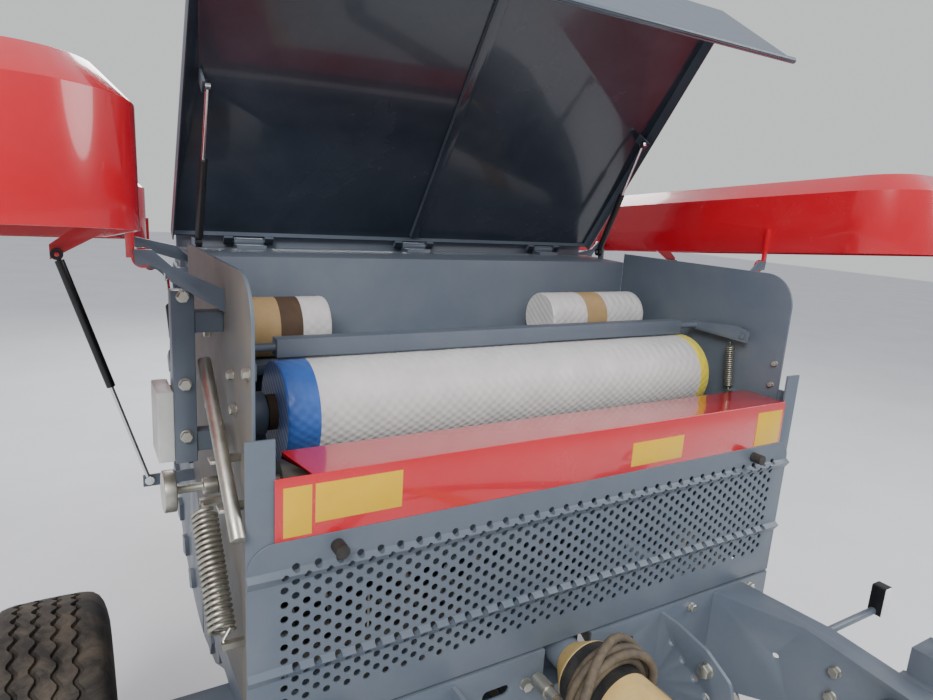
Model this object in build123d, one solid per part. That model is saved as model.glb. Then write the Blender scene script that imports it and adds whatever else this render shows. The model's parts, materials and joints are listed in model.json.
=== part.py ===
from build123d import *
from math import atan2, cos, degrees, hypot, radians, sin
import os

os.makedirs("parts", exist_ok=True)

# Round baler with a fixed chamber, parked on its jack with the lid and the side covers raised.
# The front looks towards -Y, the machine's own left is +X and the ground is Z = 0.
# Y = 0 is the face of the perforated front panel. Millimetres and degrees.

# Fits and clearances
RUN_FIT = 0.05      # between a pin or shaft and the bore that turns on it
SEAT_GAP = 0.3      # between pieces that sit against each other
EYE_GAP = 0.5       # beside a strut's upper eye
MOVE_GAP = 6        # between pieces that pass each other

# Wheels and axle
AXLE_Y = 750
TYRE_R = 422
TYRE_W = 290
RIM_R = 200
RIM_WALL = 8
SPINDLE_R = 30
HUB_HALF = 60
HUB_R = 62
AXLE_SIZE = 100
DISC_T = 10
STUD_PCD = 205
STUD_R = 9

# Bale chamber, with its rollers on a circle
CHAMBER_Y = 1270
CHAMBER_Z = 1080
CHAMBER_R = 600
CHAMBER_HALF = 604
SIDE_T = 8
SIDE_X = CHAMBER_HALF + SIDE_T
ROLLER_R = 60
ROLLER_WALL = 5
ROLLER_SHAFT_R = 18
SPLIT_GAP = 6
FRONT_ANGLES = (98, 112, 126, 140, 154, 168, 182, 196, 238, 252)
REAR_ANGLES = (82, 68, 54, 40, 26, 12, -2, -16, -30, -44, -58, -72)
TAIL_R = 748
SKIN_R = 736
SKIN_T = 4
FLANGE_SIZE = 72
FLANGE_T = 14

# Tailgate hinge and its cylinders, as (y, z) in the side view
TAIL_HINGE = (1290, 1860)
TAIL_PIN_R = 18
CYL_X = SIDE_X + 56
CYL_LOW = (1000, 1150)
CYL_HIGH = (1420, 1640)
CYL_R = 28
CYL_ROD_R = 15
CYL_TUBE = 520
CYL_INSIDE = 335
CYL_PIN_R = 14
CYL_EYE_T = 36

# Net box
PANEL_Z = 960
PANEL_H = 394
PANEL_ROUND = 51
SHEET_T = 3
STRIP_W = 50
STRIP_TOP = PANEL_Z + 580
BOX_HALF = CHAMBER_HALF + 110
BOX_T = 6
PANEL_HALF = BOX_HALF + 21
BOX_FRONT_Y = 40
BOX_BACK_Y = 694
BOX_TOP = PANEL_Z + 843
BOX_ROUND = 88
RIB_H = 29
RIB_DEPTH = 12
RIB_TOPS = (PANEL_Z + 342, PANEL_Z + 151)
KNIFE_TOP = PANEL_Z + 510
KNIFE_DEPTH = 122
NET_Y = 315
NET_Z = PANEL_Z + 523
NET_R = 112
NET_X0 = 109 - BOX_HALF
NET_X1 = BOX_HALF - 89
CORE_R = 38
CORE_WALL = 6
SHELF_Z = PANEL_Z + 575
SPARE_Y = 600
SPARE_R = 75
SPARE_ROLLS = ((54 - BOX_HALF, 308 - BOX_HALF), (BOX_HALF - 424, BOX_HALF - 51))
DECK_BACK_Y = 905
DECK_Z = PANEL_Z + 809
DECK_RISE = 6

# Lid over the net box, drawn shut and then raised
LID_HINGE = (922, PANEL_Z + 834)
LID_OPEN = 54.5
LID_HALF = BOX_HALF + 8
LID_RISE = 22
LID_FRONT_Y = 26
LID_LIP = 312
LID_LEAN = 2
LID_FLANGE = 40
LID_HEM_R = 8
LID_PIN_R = 6
KNUCKLE_XS = (-520, 0, 520)
LID_STRUT_X = BOX_HALF - 41
LID_STRUT_LOW = (790, PANEL_Z + 840)
LID_STRUT_ARM = 470
LID_STRUT_DROP = 23.5
LID_STRUT_TUBE = 220
STRUT_R = 10
STRUT_ROD_R = 5
STRUT_PIN_R = 5
STRUT_EYE_T = 12
STRUT_INSIDE = 60

# Bar that lies on the net roll, as (y, z)
HOLD_PIVOT = (160, PANEL_Z + 658)
HOLD_BAR = (330, PANEL_Z + 660)
HOLD_BAR_SIZE = 38
HOLD_ARM_X = BOX_HALF - 32
HOLD_PIN_R = 8

# Side covers: first y, length, pivot x, pivot z, inner edge x, top z, drop, first hinge lug
COVER_T = 5
COVER_DEPTH = 212
COVER_BEVEL = 45
COVER_ROUND = 150
COVER_YAW = 4.6
COVER_PIN_R = 10
FRONT_COVER = (-130, 1290, BOX_HALF + 136, PANEL_Z + 850, BOX_HALF + 209, PANEL_Z + 828, 760, 387)
REAR_COVER = (1350, 560, SIDE_X + 108, PANEL_Z + 702, SIDE_X + 212, PANEL_Z + 692, 640, 165)
LUG_T = 8
COVER_STRUT_Y = 716
COVER_STRUT_LOW = (SIDE_X + 204, CHAMBER_Z + 120)
COVER_STRUT_REACH = (135, -39)
COVER_STRUT_TUBE = 330

# Cross-member, drawbar and jack
CROSS_TOP = PANEL_Z - 8
CROSS_H = 230
CROSS_FRONT = -4
CROSS_BACK = 66
CROSS_T = 6
BEAM_X = 612
BEAM_ROOT_X = 505
BEAM_FLANGE = 70
BEAM_T = 8
BEAM_KNEE_Y = -205
BEAM_TOP = ((CROSS_FRONT, PANEL_Z - 15), (BEAM_KNEE_Y, PANEL_Z - 30), (-520, PANEL_Z - 50))
BEAM_LOW = ((-520, PANEL_Z - 210), (BEAM_KNEE_Y, PANEL_Z - 270), (CROSS_FRONT, PANEL_Z - 300))
TUBE_Y = -450
TUBE_Z = PANEL_Z - 110
TUBE_R = 44
TUBE_WALL = 6
ARM_X = 520
ARM_R = 42
EYE_Y = -(CHAMBER_Y + TAIL_R)
EYE_Z = 560
EYE_R = 55
EYE_T = 32
EYE_BORE = 25
PLATE_X = 305
PLATE_T = 10
LAMP_X = PANEL_HALF + 185
JACK_X = 760
JACK_SIZE = 90
JACK_WALL = 8
JACK_TOP = PANEL_Z + 15
JACK_FOOT_R = 110

# Drive line
GEAR_Z = PANEL_Z - 45
GEAR_HALF = 105
NECK_R = 40
SHIELD_R = 78
SHIELD_FRONT = -330
PTO_Y = -250
PTO_DROP = 9
PTO_LEN = 1000
PTO_SHAFT_R = 18
PTO_GUARD_R = 38
PTO_BALL_R = 26
PTO_PIN_R = 11
PTO_PIN_HALF = 38
SPLINE_R = 17.5
SPLINE_LEN = 76

# Pickup and feed rotor
PICK_HALF = 860
TRACK_HALF = PICK_HALF + TYRE_W / 2 + 58
REEL_Y = 190
REEL_Z = 300
REEL_R = 105
REEL_SHAFT_R = 14
TINE_TIP_R = 205
TINE_SIZE = 6
TINE_STEP = 72
TINE_ROWS = 4
TINES_HALF = int((PICK_HALF - 60) // TINE_STEP)
BAND_W = 46
BAND_R = 150
BAND_T = 3
BAND_TOP_Y = REEL_Y + 250
BAND_TOP = REEL_Z + 162
BAND_LOW_Y = REEL_Y + 240
BAND_LOW = REEL_Z - 113
PICK_PIVOT = (520, 560)
PICK_PIN_R = 20
GUARD_PIVOT = (400, 540)
GUARD_TUBE = (-60, 470)
GUARD_BEND = (60, 530)
GUARD_HALF = 7 * TINE_STEP - 23
GUARD_PIN_R = 9
GAUGE_R = 165
GAUGE_Y = 60
GAUGE_Z = 177
GAUGE_X = PICK_HALF + 70
GAUGE_PIN_R = 12
ROTOR_Y = 590
ROTOR_Z = 640
ROTOR_R = 172
ROTOR_STEP = 88

# Hose wound round the drive shaft's shield, as (x, y, z)
HOSE_R = 10
COIL_FRONT = -190
COIL_BACK = -72
COIL_R = 122
HOSE_PORT = (180, CROSS_FRONT, CROSS_TOP - 62)
HOSE_EXIT = (104, -96, PANEL_Z - 50)
COUPLER_X = -132
COUPLER_Z = PANEL_Z - 25

# Fittings on the machine's right, beside the net box
POST_X = -BOX_HALF - 92
POST_Y = 282
LEVER_X = -BOX_HALF - 36
LEVER_TOP = (269, PANEL_Z + 655)
LEVER_END = (-18, PANEL_Z + 420)
LEVER_R = 12.5
SPRING_HIGH = (296, PANEL_Z + 353)
SPRING_LOW = (88, PANEL_Z + 158)
GAUGE_AT = (357, PANEL_Z + 360)


def block(x0, x1, y0, y1, z0, z1):
    return Pos((x0 + x1) / 2, (y0 + y1) / 2, (z0 + z1) / 2) * Box(x1 - x0, y1 - y0, z1 - z0)


def bar_x(x0, x1, y, z, radius):
    return Pos((x0 + x1) / 2, y, z) * Rot(0, 90, 0) * Cylinder(radius, x1 - x0)


def bar_y(x, y0, y1, z, radius):
    return Pos(x, (y0 + y1) / 2, z) * Rot(90, 0, 0) * Cylinder(radius, y1 - y0)


def bar_z(x, y, z0, z1, radius):
    return Pos(x, y, (z0 + z1) / 2) * Cylinder(radius, z1 - z0)


def rod(start, end, radius):
    start = Vector(*start)
    way = Vector(*end) - start
    return Plane(origin=start, z_dir=way) * Pos(0, 0, way.length / 2) * Cylinder(radius, way.length)


def outline(points, rounds=(), radius=0):
    """A flat face from its corners; the corners whose numbers are in rounds get the radius."""
    face = make_face(Polyline(*points, close=True))
    if not rounds:
        return face
    spots = [Vector(points[i][0], points[i][1], 0) for i in rounds]
    corners = [v for v in face.vertices() if min((v.center() - s).length for s in spots) < 0.01]
    return fillet(corners, radius)


def plate_x(points, x0, thick, rounds=(), radius=0):
    """A plate that faces sideways, from its (y, z) corners."""
    return extrude(Plane.YZ.offset(x0) * outline(points, rounds, radius), thick, dir=(1, 0, 0))


def plate_y(points, y0, thick):
    """A plate that faces the front, from its (x, z) corners."""
    return extrude(Plane.XZ.offset(-y0) * outline(points), thick, dir=(0, 1, 0))


def both(shape):
    return [shape, mirror(shape, about=Plane.YZ)]


def turn_x(shape, pivot, angle):
    """Turns a shape about a sideways line through the (y, z) pivot; +90 takes +Y to +Z."""
    return Pos(0, pivot[0], pivot[1]) * Rot(angle, 0, 0) * Pos(0, -pivot[0], -pivot[1]) * shape


def turn_y(shape, pivot, angle):
    """Turns a shape about a lengthways line through the (x, z) pivot; +90 takes +Z to +X."""
    return Pos(pivot[0], 0, pivot[1]) * Rot(0, angle, 0) * Pos(-pivot[0], 0, -pivot[1]) * shape


def apart(body, pieces):
    """The pieces as solids of their own that stop at the body's faces."""
    return [body] + [piece - body for piece in pieces]


def save(name, *shapes):
    solids = [solid for shape in shapes for solid in shape.solids()]
    part = solids[0] if len(solids) == 1 else Compound(solids)
    export_step(part, f"parts/{name}.step")


def ring_x(profile, x, y, z):
    """Turns a half outline of (along the axle, radius) corners about a sideways axle."""
    return Pos(x, y, z) * revolve(outline(profile), Axis.X)


def ring_y(profile, x, z):
    """Turns a half outline of (radius, y) corners about a lengthways line."""
    return Pos(x, 0, z) * revolve(outline(profile), Axis.Y)


def strut(span, tube, inside, tube_r, rod_r, eye_t, pin_r):
    """Tube and rod of a strut that stands on its low eye at the origin and rises by its span."""
    eye_r = tube_r + 3
    eye = bar_x(-eye_t / 2, eye_t / 2, 0, 0, eye_r) + bar_z(0, 0, 0, eye_r + 4, eye_t / 2 - 1)
    barrel = bar_z(0, 0, eye_r + 2, tube, tube_r) + eye
    barrel = barrel - bar_x(-eye_t, eye_t, 0, 0, pin_r + RUN_FIT)
    barrel = barrel - bar_z(0, 0, eye_r + 8, tube + 1, rod_r + RUN_FIT)
    head = bar_x(-eye_t / 2, eye_t / 2, 0, span, rod_r + 6)
    return barrel, bar_z(0, 0, tube - inside, span, rod_r) + head


def side_strut(x, low, high, *sizes):
    """A strut that lies in the side view, between two (y, z) points."""
    dy, dz = high[0] - low[0], high[1] - low[1]
    place = Pos(x, low[0], low[1]) * Rot(-degrees(atan2(dy, dz)), 0, 0)
    return [place * piece for piece in strut(hypot(dy, dz), *sizes)]


def front_strut(y, low, high, *sizes):
    """A strut that lies in the front view, between two (x, z) points."""
    dx, dz = high[0] - low[0], high[1] - low[1]
    place = Pos(low[0], y, low[1]) * Rot(0, degrees(atan2(dx, dz)), 0) * Rot(0, 0, 90)
    return [place * piece for piece in strut(hypot(dx, dz), *sizes)]


# Wheels and axle

def tyre(side):
    half = TYRE_W / 2
    profile = [
        (-half + 37, RIM_R), (-half + 27, RIM_R + 26), (-half, RIM_R + 90), (-half, RIM_R + 130),
        (-half + 12, TYRE_R - 34), (-half + 34, TYRE_R - 8), (-half + 60, TYRE_R),
    ]
    profile = profile + [(-along, radius) for along, radius in reversed(profile)]
    return ring_x(profile, side * TRACK_HALF, AXLE_Y, TYRE_R)


def rim(side):
    x = side * TRACK_HALF
    bead = TYRE_W / 2 - 37
    lip = RIM_R + 14
    inner = RIM_R - RIM_WALL
    barrel = [
        (-bead - 14, lip), (-bead - 6, lip), (-bead, RIM_R), (bead, RIM_R), (bead + 6, lip),
        (bead + 14, lip), (bead + 8, inner), (-bead - 8, inner),
    ]
    dish = [
        (20, HUB_R - 2), (20, 120), (38, 150), (38, inner + 1), (38 + DISC_T, inner + 1),
        (38 + DISC_T, 146), (20 + DISC_T, 116), (20 + DISC_T, HUB_R - 2),
    ]
    bore = SPINDLE_R + RUN_FIT
    hub = [(-HUB_HALF, bore), (-HUB_HALF, HUB_R), (HUB_HALF, HUB_R), (HUB_HALF, bore)]
    cap = [(HUB_HALF, 0), (HUB_HALF, 50), (HUB_HALF + 14, 42), (HUB_HALF + 14, 0)]
    pieces = []
    for profile in (dish, hub, cap):
        pieces.append(ring_x([(side * along, radius) for along, radius in profile], x, AXLE_Y, TYRE_R))
    start = side * (20 + DISC_T)
    ends = sorted((x + start - side, x + start + side * 28))
    for i in range(6):
        turn = radians(60 * i)
        y = AXLE_Y + STUD_PCD / 2 * cos(turn)
        z = TYRE_R + STUD_PCD / 2 * sin(turn)
        pieces.append(bar_x(*ends, y, z, STUD_R))
    return ring_x(barrel, x, AXLE_Y, TYRE_R) + pieces


def axle():
    half = AXLE_SIZE / 2
    end = TRACK_HALF - HUB_HALF - 14
    beam = block(-end, end, AXLE_Y - half, AXLE_Y + half, TYRE_R - half, TYRE_R + half)
    stub = bar_x(end - 1, TRACK_HALF + HUB_HALF - MOVE_GAP, AXLE_Y, TYRE_R, SPINDLE_R)
    return beam + both(stub)


# Bale chamber and the fixed front half

def on_circle(angle, radius):
    return CHAMBER_Y + radius * cos(radians(angle)), CHAMBER_Z + radius * sin(radians(angle))


def roller(angle):
    y, z = on_circle(angle, CHAMBER_R + ROLLER_R + 2)
    end = CHAMBER_HALF - MOVE_GAP
    tube = bar_x(-end, end, y, z, ROLLER_R) - bar_x(-end - 1, end + 1, y, z, ROLLER_R - ROLLER_WALL)
    web = bar_x(-8, 8, y, z, ROLLER_R - 1)
    return tube + [web, bar_x(-CHAMBER_HALF, CHAMBER_HALF, y, z, ROLLER_SHAFT_R)]


def bearing(angle):
    """Square bearing flange of a roller on the left side plate's outer face."""
    y, z = on_circle(angle, CHAMBER_R + ROLLER_R + 2)
    half = FLANGE_SIZE / 2
    flange = block(0, FLANGE_T, -half, half, -half, half)
    return Pos(CHAMBER_HALF + SIDE_T, y, z) * Rot(angle + 45, 0, 0) * flange


def deck_z(y):
    return DECK_Z + DECK_RISE * (y - BOX_BACK_Y) / (DECK_BACK_Y - BOX_BACK_Y)


def cover_arm(cover, which, wall_x):
    """Arm from the machine's side out to one of a cover's two hinge pins."""
    px, pz = cover[2:4]
    y = lug_ys(cover)[which]
    points = [
        (wall_x, pz - 100), (px - 44, pz - 42), (px - 30, pz - 20), (px - 12, pz - 12), (px + 12, pz - 12),
        (px + 15, pz + 15), (px - 15, pz + 15), (px - 46, pz - 14), (wall_x, pz - 56),
    ]
    arm = plate_y(points, y - LUG_T - 1, LUG_T)
    return arm + bar_y(px, y - LUG_T, y + LUG_T + 4, pz, COVER_PIN_R)


def lug_ys(cover):
    y0, length = cover[:2]
    return y0 + cover[7], y0 + length - COVER_ROUND - 25


def tail_post():
    """Post on the front half that carries the tailgate's hinge pin."""
    y, z = TAIL_HINGE
    x = SIDE_X
    low = BOX_TOP - 90
    corners = [(y - 190, low), (y - 60, low), (y + 22, z - 14), (y + 18, z + 20), (y - 20, z + 26)]
    post = plate_x(corners, x + 1, 10)
    pin = bar_x(CHAMBER_HALF - MOVE_GAP, x + 11, y, z, TAIL_PIN_R)
    foot = plate_x([(y - 160, low + 2), (y - 70, low + 2), (y - 70, low + 78), (y - 120, low + 78)], x, 2)
    return post + [pin, foot]


def front_side():
    """The left side plate with its bearings, and the brackets that stand on it."""
    x = SIDE_X
    split = CHAMBER_Y - SPLIT_GAP
    axle_top = TYRE_R + AXLE_SIZE / 2
    wall = BOX_BACK_Y + 4
    shelf = SHELF_Z - 8
    points = [
        (split, CHAMBER_Z - TAIL_R), (1040, CHAMBER_Z - TAIL_R + 40), (AXLE_Y + 110, axle_top),
        (AXLE_Y - 60, axle_top), (600, 440), (510, 490), (470, 560), (440, 620), (380, 680), (380, 800),
        (440, 860), (440, 1100), (500, 1300), (600, 1480), (BOX_BACK_Y - 6, shelf), (wall, shelf),
        (wall, deck_z(wall)), (DECK_BACK_Y, deck_z(DECK_BACK_Y)),
        (LID_HINGE[0] + LID_RISE, deck_z(DECK_BACK_Y)), (1100, BOX_TOP + 3), (split, CHAMBER_Z + TAIL_R - 6),
    ]
    low_x, low_z = COVER_STRUT_LOW
    eye = COVER_STRUT_Y + STRUT_EYE_T / 2
    ram_end = CYL_X - CYL_EYE_T / 2 - 1
    pieces = [
        block(x, x + 60, CROSS_BACK, AXLE_Y + 150, CROSS_TOP - CROSS_H - 10, CROSS_TOP - 120),
        bar_x(x, ram_end, *CYL_LOW, CYL_R) + bar_x(x, CYL_X + CYL_EYE_T / 2 + 4, *CYL_LOW, CYL_PIN_R),
        block(x, low_x + 14, eye + 1, eye + 9, low_z - 20, low_z + 10),
        bar_x(x, PICK_HALF + 12, *PICK_PIVOT, PICK_PIN_R) + bar_x(x, x + 30, *PICK_PIVOT, PICK_PIN_R + 16),
        cover_arm(FRONT_COVER, 1, x),
        tail_post(),
    ]
    flanges = [bearing(angle) for angle in FRONT_ANGLES]
    return apart(plate_x(points, CHAMBER_HALF, SIDE_T) + flanges, pieces)


def skin(from_angle, to_angle):
    """The sheet round the rollers between two angles of the chamber."""
    ring = bar_x(-CHAMBER_HALF, CHAMBER_HALF, CHAMBER_Y, CHAMBER_Z, SKIN_R)
    ring = ring - bar_x(-CHAMBER_HALF - 1, CHAMBER_HALF + 1, CHAMBER_Y, CHAMBER_Z, SKIN_R - SKIN_T)
    middle = (from_angle + to_angle) / 2
    points = [(CHAMBER_Y, CHAMBER_Z)] + [on_circle(a, 2 * SKIN_R) for a in (from_angle, middle, to_angle)]
    return ring & plate_x(points, -CHAMBER_HALF, 2 * CHAMBER_HALF)


def feed_roller(y, z, radius):
    end = BOX_HALF - 74
    return bar_x(-end, end, y, z, radius) + bar_x(-BOX_HALF + BOX_T, BOX_HALF - BOX_T, y, z, 15)


# Cross-member, drawbar, hitch and jack

def hitch_plate():
    """Upright plate on the cross-member with its row of height holes."""
    points = [
        (CROSS_FRONT, CROSS_TOP - 12), (-60, CROSS_TOP - 12), (-150, CROSS_TOP - 26), (-226, CROSS_TOP - 66),
        (-244, CROSS_TOP - 120), (-244, CROSS_TOP - 215), (CROSS_FRONT, CROSS_TOP - 215),
    ]
    plate = plate_x(points, PLATE_X, PLATE_T, rounds=(2, 3, 4), radius=30)
    x = PLATE_X
    return plate - [bar_x(x - 5, x + 15, -50 - 40 * i, CROSS_TOP - 70 - 24 * i, 11) for i in range(4)]


def cross_member():
    low = CROSS_TOP - CROSS_H
    outer = block(-PANEL_HALF, PANEL_HALF, CROSS_FRONT, CROSS_BACK, low, CROSS_TOP)
    inner = block(-PANEL_HALF - 1, PANEL_HALF + 1, CROSS_FRONT + CROSS_T, CROSS_BACK + 1, low + CROSS_T,
                  CROSS_TOP - CROSS_T)
    wide = NECK_R + 30
    notch = block(-wide, wide, CROSS_FRONT - 1, CROSS_BACK + 1, GEAR_Z - wide, CROSS_TOP + 1)
    cuts = [inner, notch]
    for x, drop in ((-200, 70), (180, 62)):
        cuts.append(Pos(x, 0, CROSS_TOP - drop) * extrude(Plane.XZ * SlotOverall(70, 26), 20, both=True))
    return outer - cuts + both(hitch_plate())


def seen_from_above(points, low, high):
    """An upright prism from its (x, y) corners."""
    return Pos(0, 0, low) * extrude(outline(points), high - low)


def drawbar_beam():
    """Channel that runs back from the jack and turns inward to the cross-member, with a lamp's arm."""
    top = list(BEAM_TOP)
    low = list(BEAM_LOW)
    front = BEAM_TOP[2][0]
    line = [(BEAM_ROOT_X, CROSS_FRONT), (BEAM_X, BEAM_KNEE_Y), (BEAM_X, front)]
    web = line + [(x + BEAM_T, y) for x, y in reversed(line)]
    flange = line + [(BEAM_X + BEAM_FLANGE, front), (BEAM_X + BEAM_FLANGE, BEAM_KNEE_Y - 30),
                     (BEAM_ROOT_X + 121, CROSS_FRONT)]
    span = BEAM_X + BEAM_FLANGE - BEAM_ROOT_X
    side = plate_x(top + low, BEAM_ROOT_X, span)
    upper = plate_x(top + [(y, z - BEAM_T) for y, z in reversed(top)], BEAM_ROOT_X, span)
    lower = plate_x(low + [(y, z + BEAM_T) for y, z in reversed(low)], BEAM_ROOT_X, span)
    tall = (PANEL_Z - 400, PANEL_Z)
    body = side & seen_from_above(web, *tall)
    body = body + (upper & seen_from_above(flange, *tall)) + (lower & seen_from_above(flange, *tall))
    hole = bar_x(BEAM_ROOT_X, BEAM_X + 20, -157, PANEL_Z - 136, 8)
    tube = bar_x(BEAM_X - 5, BEAM_X + BEAM_FLANGE + 10, TUBE_Y, TUBE_Z, TUBE_R + SEAT_GAP)
    arm = bar_x(BEAM_X + BEAM_T, LAMP_X, BEAM_KNEE_Y - 11, PANEL_Z - 60, 10)
    return apart(body - hole - tube, [arm])


def tongue():
    """V-shaped drawbar: two short cross tubes, two arms and the nose with the towing eye."""
    end = BEAM_X + BEAM_FLANGE + 6
    eye_y = EYE_Y + EYE_R
    joint_y, joint_z = eye_y + 330, EYE_Z + 55
    stub = bar_x(ARM_X - 80, end, TUBE_Y, TUBE_Z, TUBE_R)
    stub = stub - bar_x(BEAM_X, end + 1, TUBE_Y, TUBE_Z, TUBE_R - TUBE_WALL)
    arm = rod((ARM_X, TUBE_Y, TUBE_Z), (40, joint_y - 20, joint_z), ARM_R)
    nose = rod((0, joint_y + 90, joint_z + 10), (0, eye_y + 42, EYE_Z), ARM_R + 4)
    eye = bar_z(0, eye_y, EYE_Z - EYE_T / 2, EYE_Z + EYE_T / 2, EYE_R)
    head = nose + eye - bar_z(0, eye_y, EYE_Z - 100, EYE_Z + 100, EYE_BORE)
    arms = [piece - head for piece in both(arm)]
    stubs = [piece - arms for piece in both(stub)]
    cross, *fork = pto_rest()
    cross = cross - arms
    return [head, cross] + arms + stubs + [piece - cross for piece in fork]


def pto_point(along, below=0):
    """The (y, z) point on the drive shaft's line, that far from its pivot and that far below."""
    turn = radians(PTO_DROP)
    return PTO_Y - along * cos(turn) + below * sin(turn), GEAR_Z - along * sin(turn) - below * cos(turn)


def pto_rest():
    """Crossbar between the drawbar's arms with the fork that the parked drive shaft lies in."""
    y, z = pto_point(860, PTO_GUARD_R)
    share = (TUBE_Y - y) / (TUBE_Y - EYE_Y - EYE_R - 310)
    reach = ARM_X + (40 - ARM_X) * share
    arm_z = TUBE_Z + (EYE_Z + 55 - TUBE_Z) * share
    side = PTO_GUARD_R + 8
    rest = z - 2
    seat = block(-side - 8, side + 8, y - 3, y + 3, arm_z, rest)
    horns = both(block(side, side + 8, y - 3, y + 3, rest, z + 50))
    return [bar_x(-reach, reach, y, arm_z, 16), seat] + horns


def jack_case():
    half = JACK_SIZE / 2
    bore = half - JACK_WALL
    case = block(JACK_X - half, JACK_X + half, TUBE_Y - half, TUBE_Y + half, 430, JACK_TOP)
    hollow = block(JACK_X - bore, JACK_X + bore, TUBE_Y - bore, TUBE_Y + bore, 420, JACK_TOP - 10)
    seat = BEAM_X + BEAM_FLANGE + 6 + SEAT_GAP
    lug = block(seat, JACK_X - half, TUBE_Y - 50, TUBE_Y + 50, TUBE_Z - 60, TUBE_Z + 60)
    crank = bar_z(JACK_X, TUBE_Y, JACK_TOP, JACK_TOP + 40, 9)
    arm = block(JACK_X - 9, JACK_X + 9, TUBE_Y - 110, TUBE_Y + 9, JACK_TOP + 30, JACK_TOP + 42)
    grip = bar_z(JACK_X, TUBE_Y - 100, JACK_TOP + 36, JACK_TOP + 130, 12)
    case = case - hollow
    return [case, lug - case, crank + [arm, grip] - case]


def jack_leg():
    half = JACK_SIZE / 2 - JACK_WALL - RUN_FIT
    leg = block(JACK_X - half, JACK_X + half, TUBE_Y - half, TUBE_Y + half, 10, 700)
    return leg + bar_z(JACK_X, TUBE_Y, 0, 12, JACK_FOOT_R)


# Net box

def net_box_side():
    points = [
        (BOX_FRONT_Y, CROSS_TOP), (BOX_FRONT_Y, BOX_TOP), (BOX_BACK_Y, BOX_TOP), (BOX_BACK_Y, 1240),
        (480, CROSS_TOP),
    ]
    plate = plate_x(points, BOX_HALF - BOX_T, BOX_T, rounds=(1,), radius=BOX_ROUND)
    face = block(PANEL_HALF - STRIP_W, PANEL_HALF, 0, BOX_T, CROSS_TOP, STRIP_TOP)
    web = block(BOX_HALF - 1, BOX_HALF + BOX_T, BOX_T - 1, BOX_FRONT_Y + 60, CROSS_TOP, PANEL_Z + 530)
    hold = bar_x(HOLD_ARM_X - 2, BOX_HALF - BOX_T, *HOLD_PIVOT, HOLD_PIN_R)
    return apart(plate + [face, web], [hold, cover_arm(FRONT_COVER, 0, BOX_HALF)])


def net_box_sides():
    """Both side plates, with the stubs that the net roll's core turns on."""
    inside = BOX_HALF - BOX_T
    stub_r = CORE_R - CORE_WALL - RUN_FIT
    left = bar_x(NET_X1 + 24, inside, NET_Y, NET_Z, CORE_R + 8)
    left = left + bar_x(NET_X1 - 20, NET_X1 + 25, NET_Y, NET_Z, stub_r)
    right = bar_x(-inside, NET_X0 - 24, NET_Y, NET_Z, CORE_R + 8)
    right = right + bar_x(NET_X0 - 25, NET_X0 + 20, NET_Y, NET_Z, stub_r)
    sides = [piece for shape in net_box_side() for piece in both(shape)]
    return sides + [left, right]


def front_panel():
    points = [(-PANEL_HALF, 0), (PANEL_HALF, 0), (PANEL_HALF, PANEL_H), (-PANEL_HALF, PANEL_H)]
    face = outline(points, rounds=(2, 3), radius=PANEL_ROUND)
    sheet = Pos(0, 0, PANEL_Z) * extrude(Plane.XZ * face, SHEET_T)
    ribs = [plate_x([(1 - SHEET_T, top - RIB_H), (-SHEET_T - RIB_DEPTH, top - 9), (1 - SHEET_T, top)],
                    -PANEL_HALF, 2 * PANEL_HALF) for top in RIB_TOPS]
    return sheet + ribs


def knife_cover():
    low = PANEL_Z + PANEL_H
    back = KNIFE_DEPTH
    top = KNIFE_TOP
    shelf = [(-1, top - SHEET_T), (-1, top), (back, top), (back, top - 16), (back - SHEET_T, top - 16),
             (back - SHEET_T, top - SHEET_T)]
    left = BOX_HALF - 30
    right = 71 - BOX_HALF
    body = block(right - 44, left + 5, -SHEET_T, 0, low, top) + plate_x(shelf, right, left - right)
    corner = outline([(right + 21, 0), (right, back + 1), (right - 7, back + 1), (right - 7, 0)])
    return body - Pos(0, 0, top - 20) * extrude(corner, 30)


def lid_eye():
    y, z = LID_HINGE
    arm = hypot(LID_STRUT_ARM, LID_STRUT_DROP)
    angle = radians(LID_OPEN) - atan2(LID_STRUT_DROP, LID_STRUT_ARM)
    return y - arm * cos(angle), z + arm * sin(angle)


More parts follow.
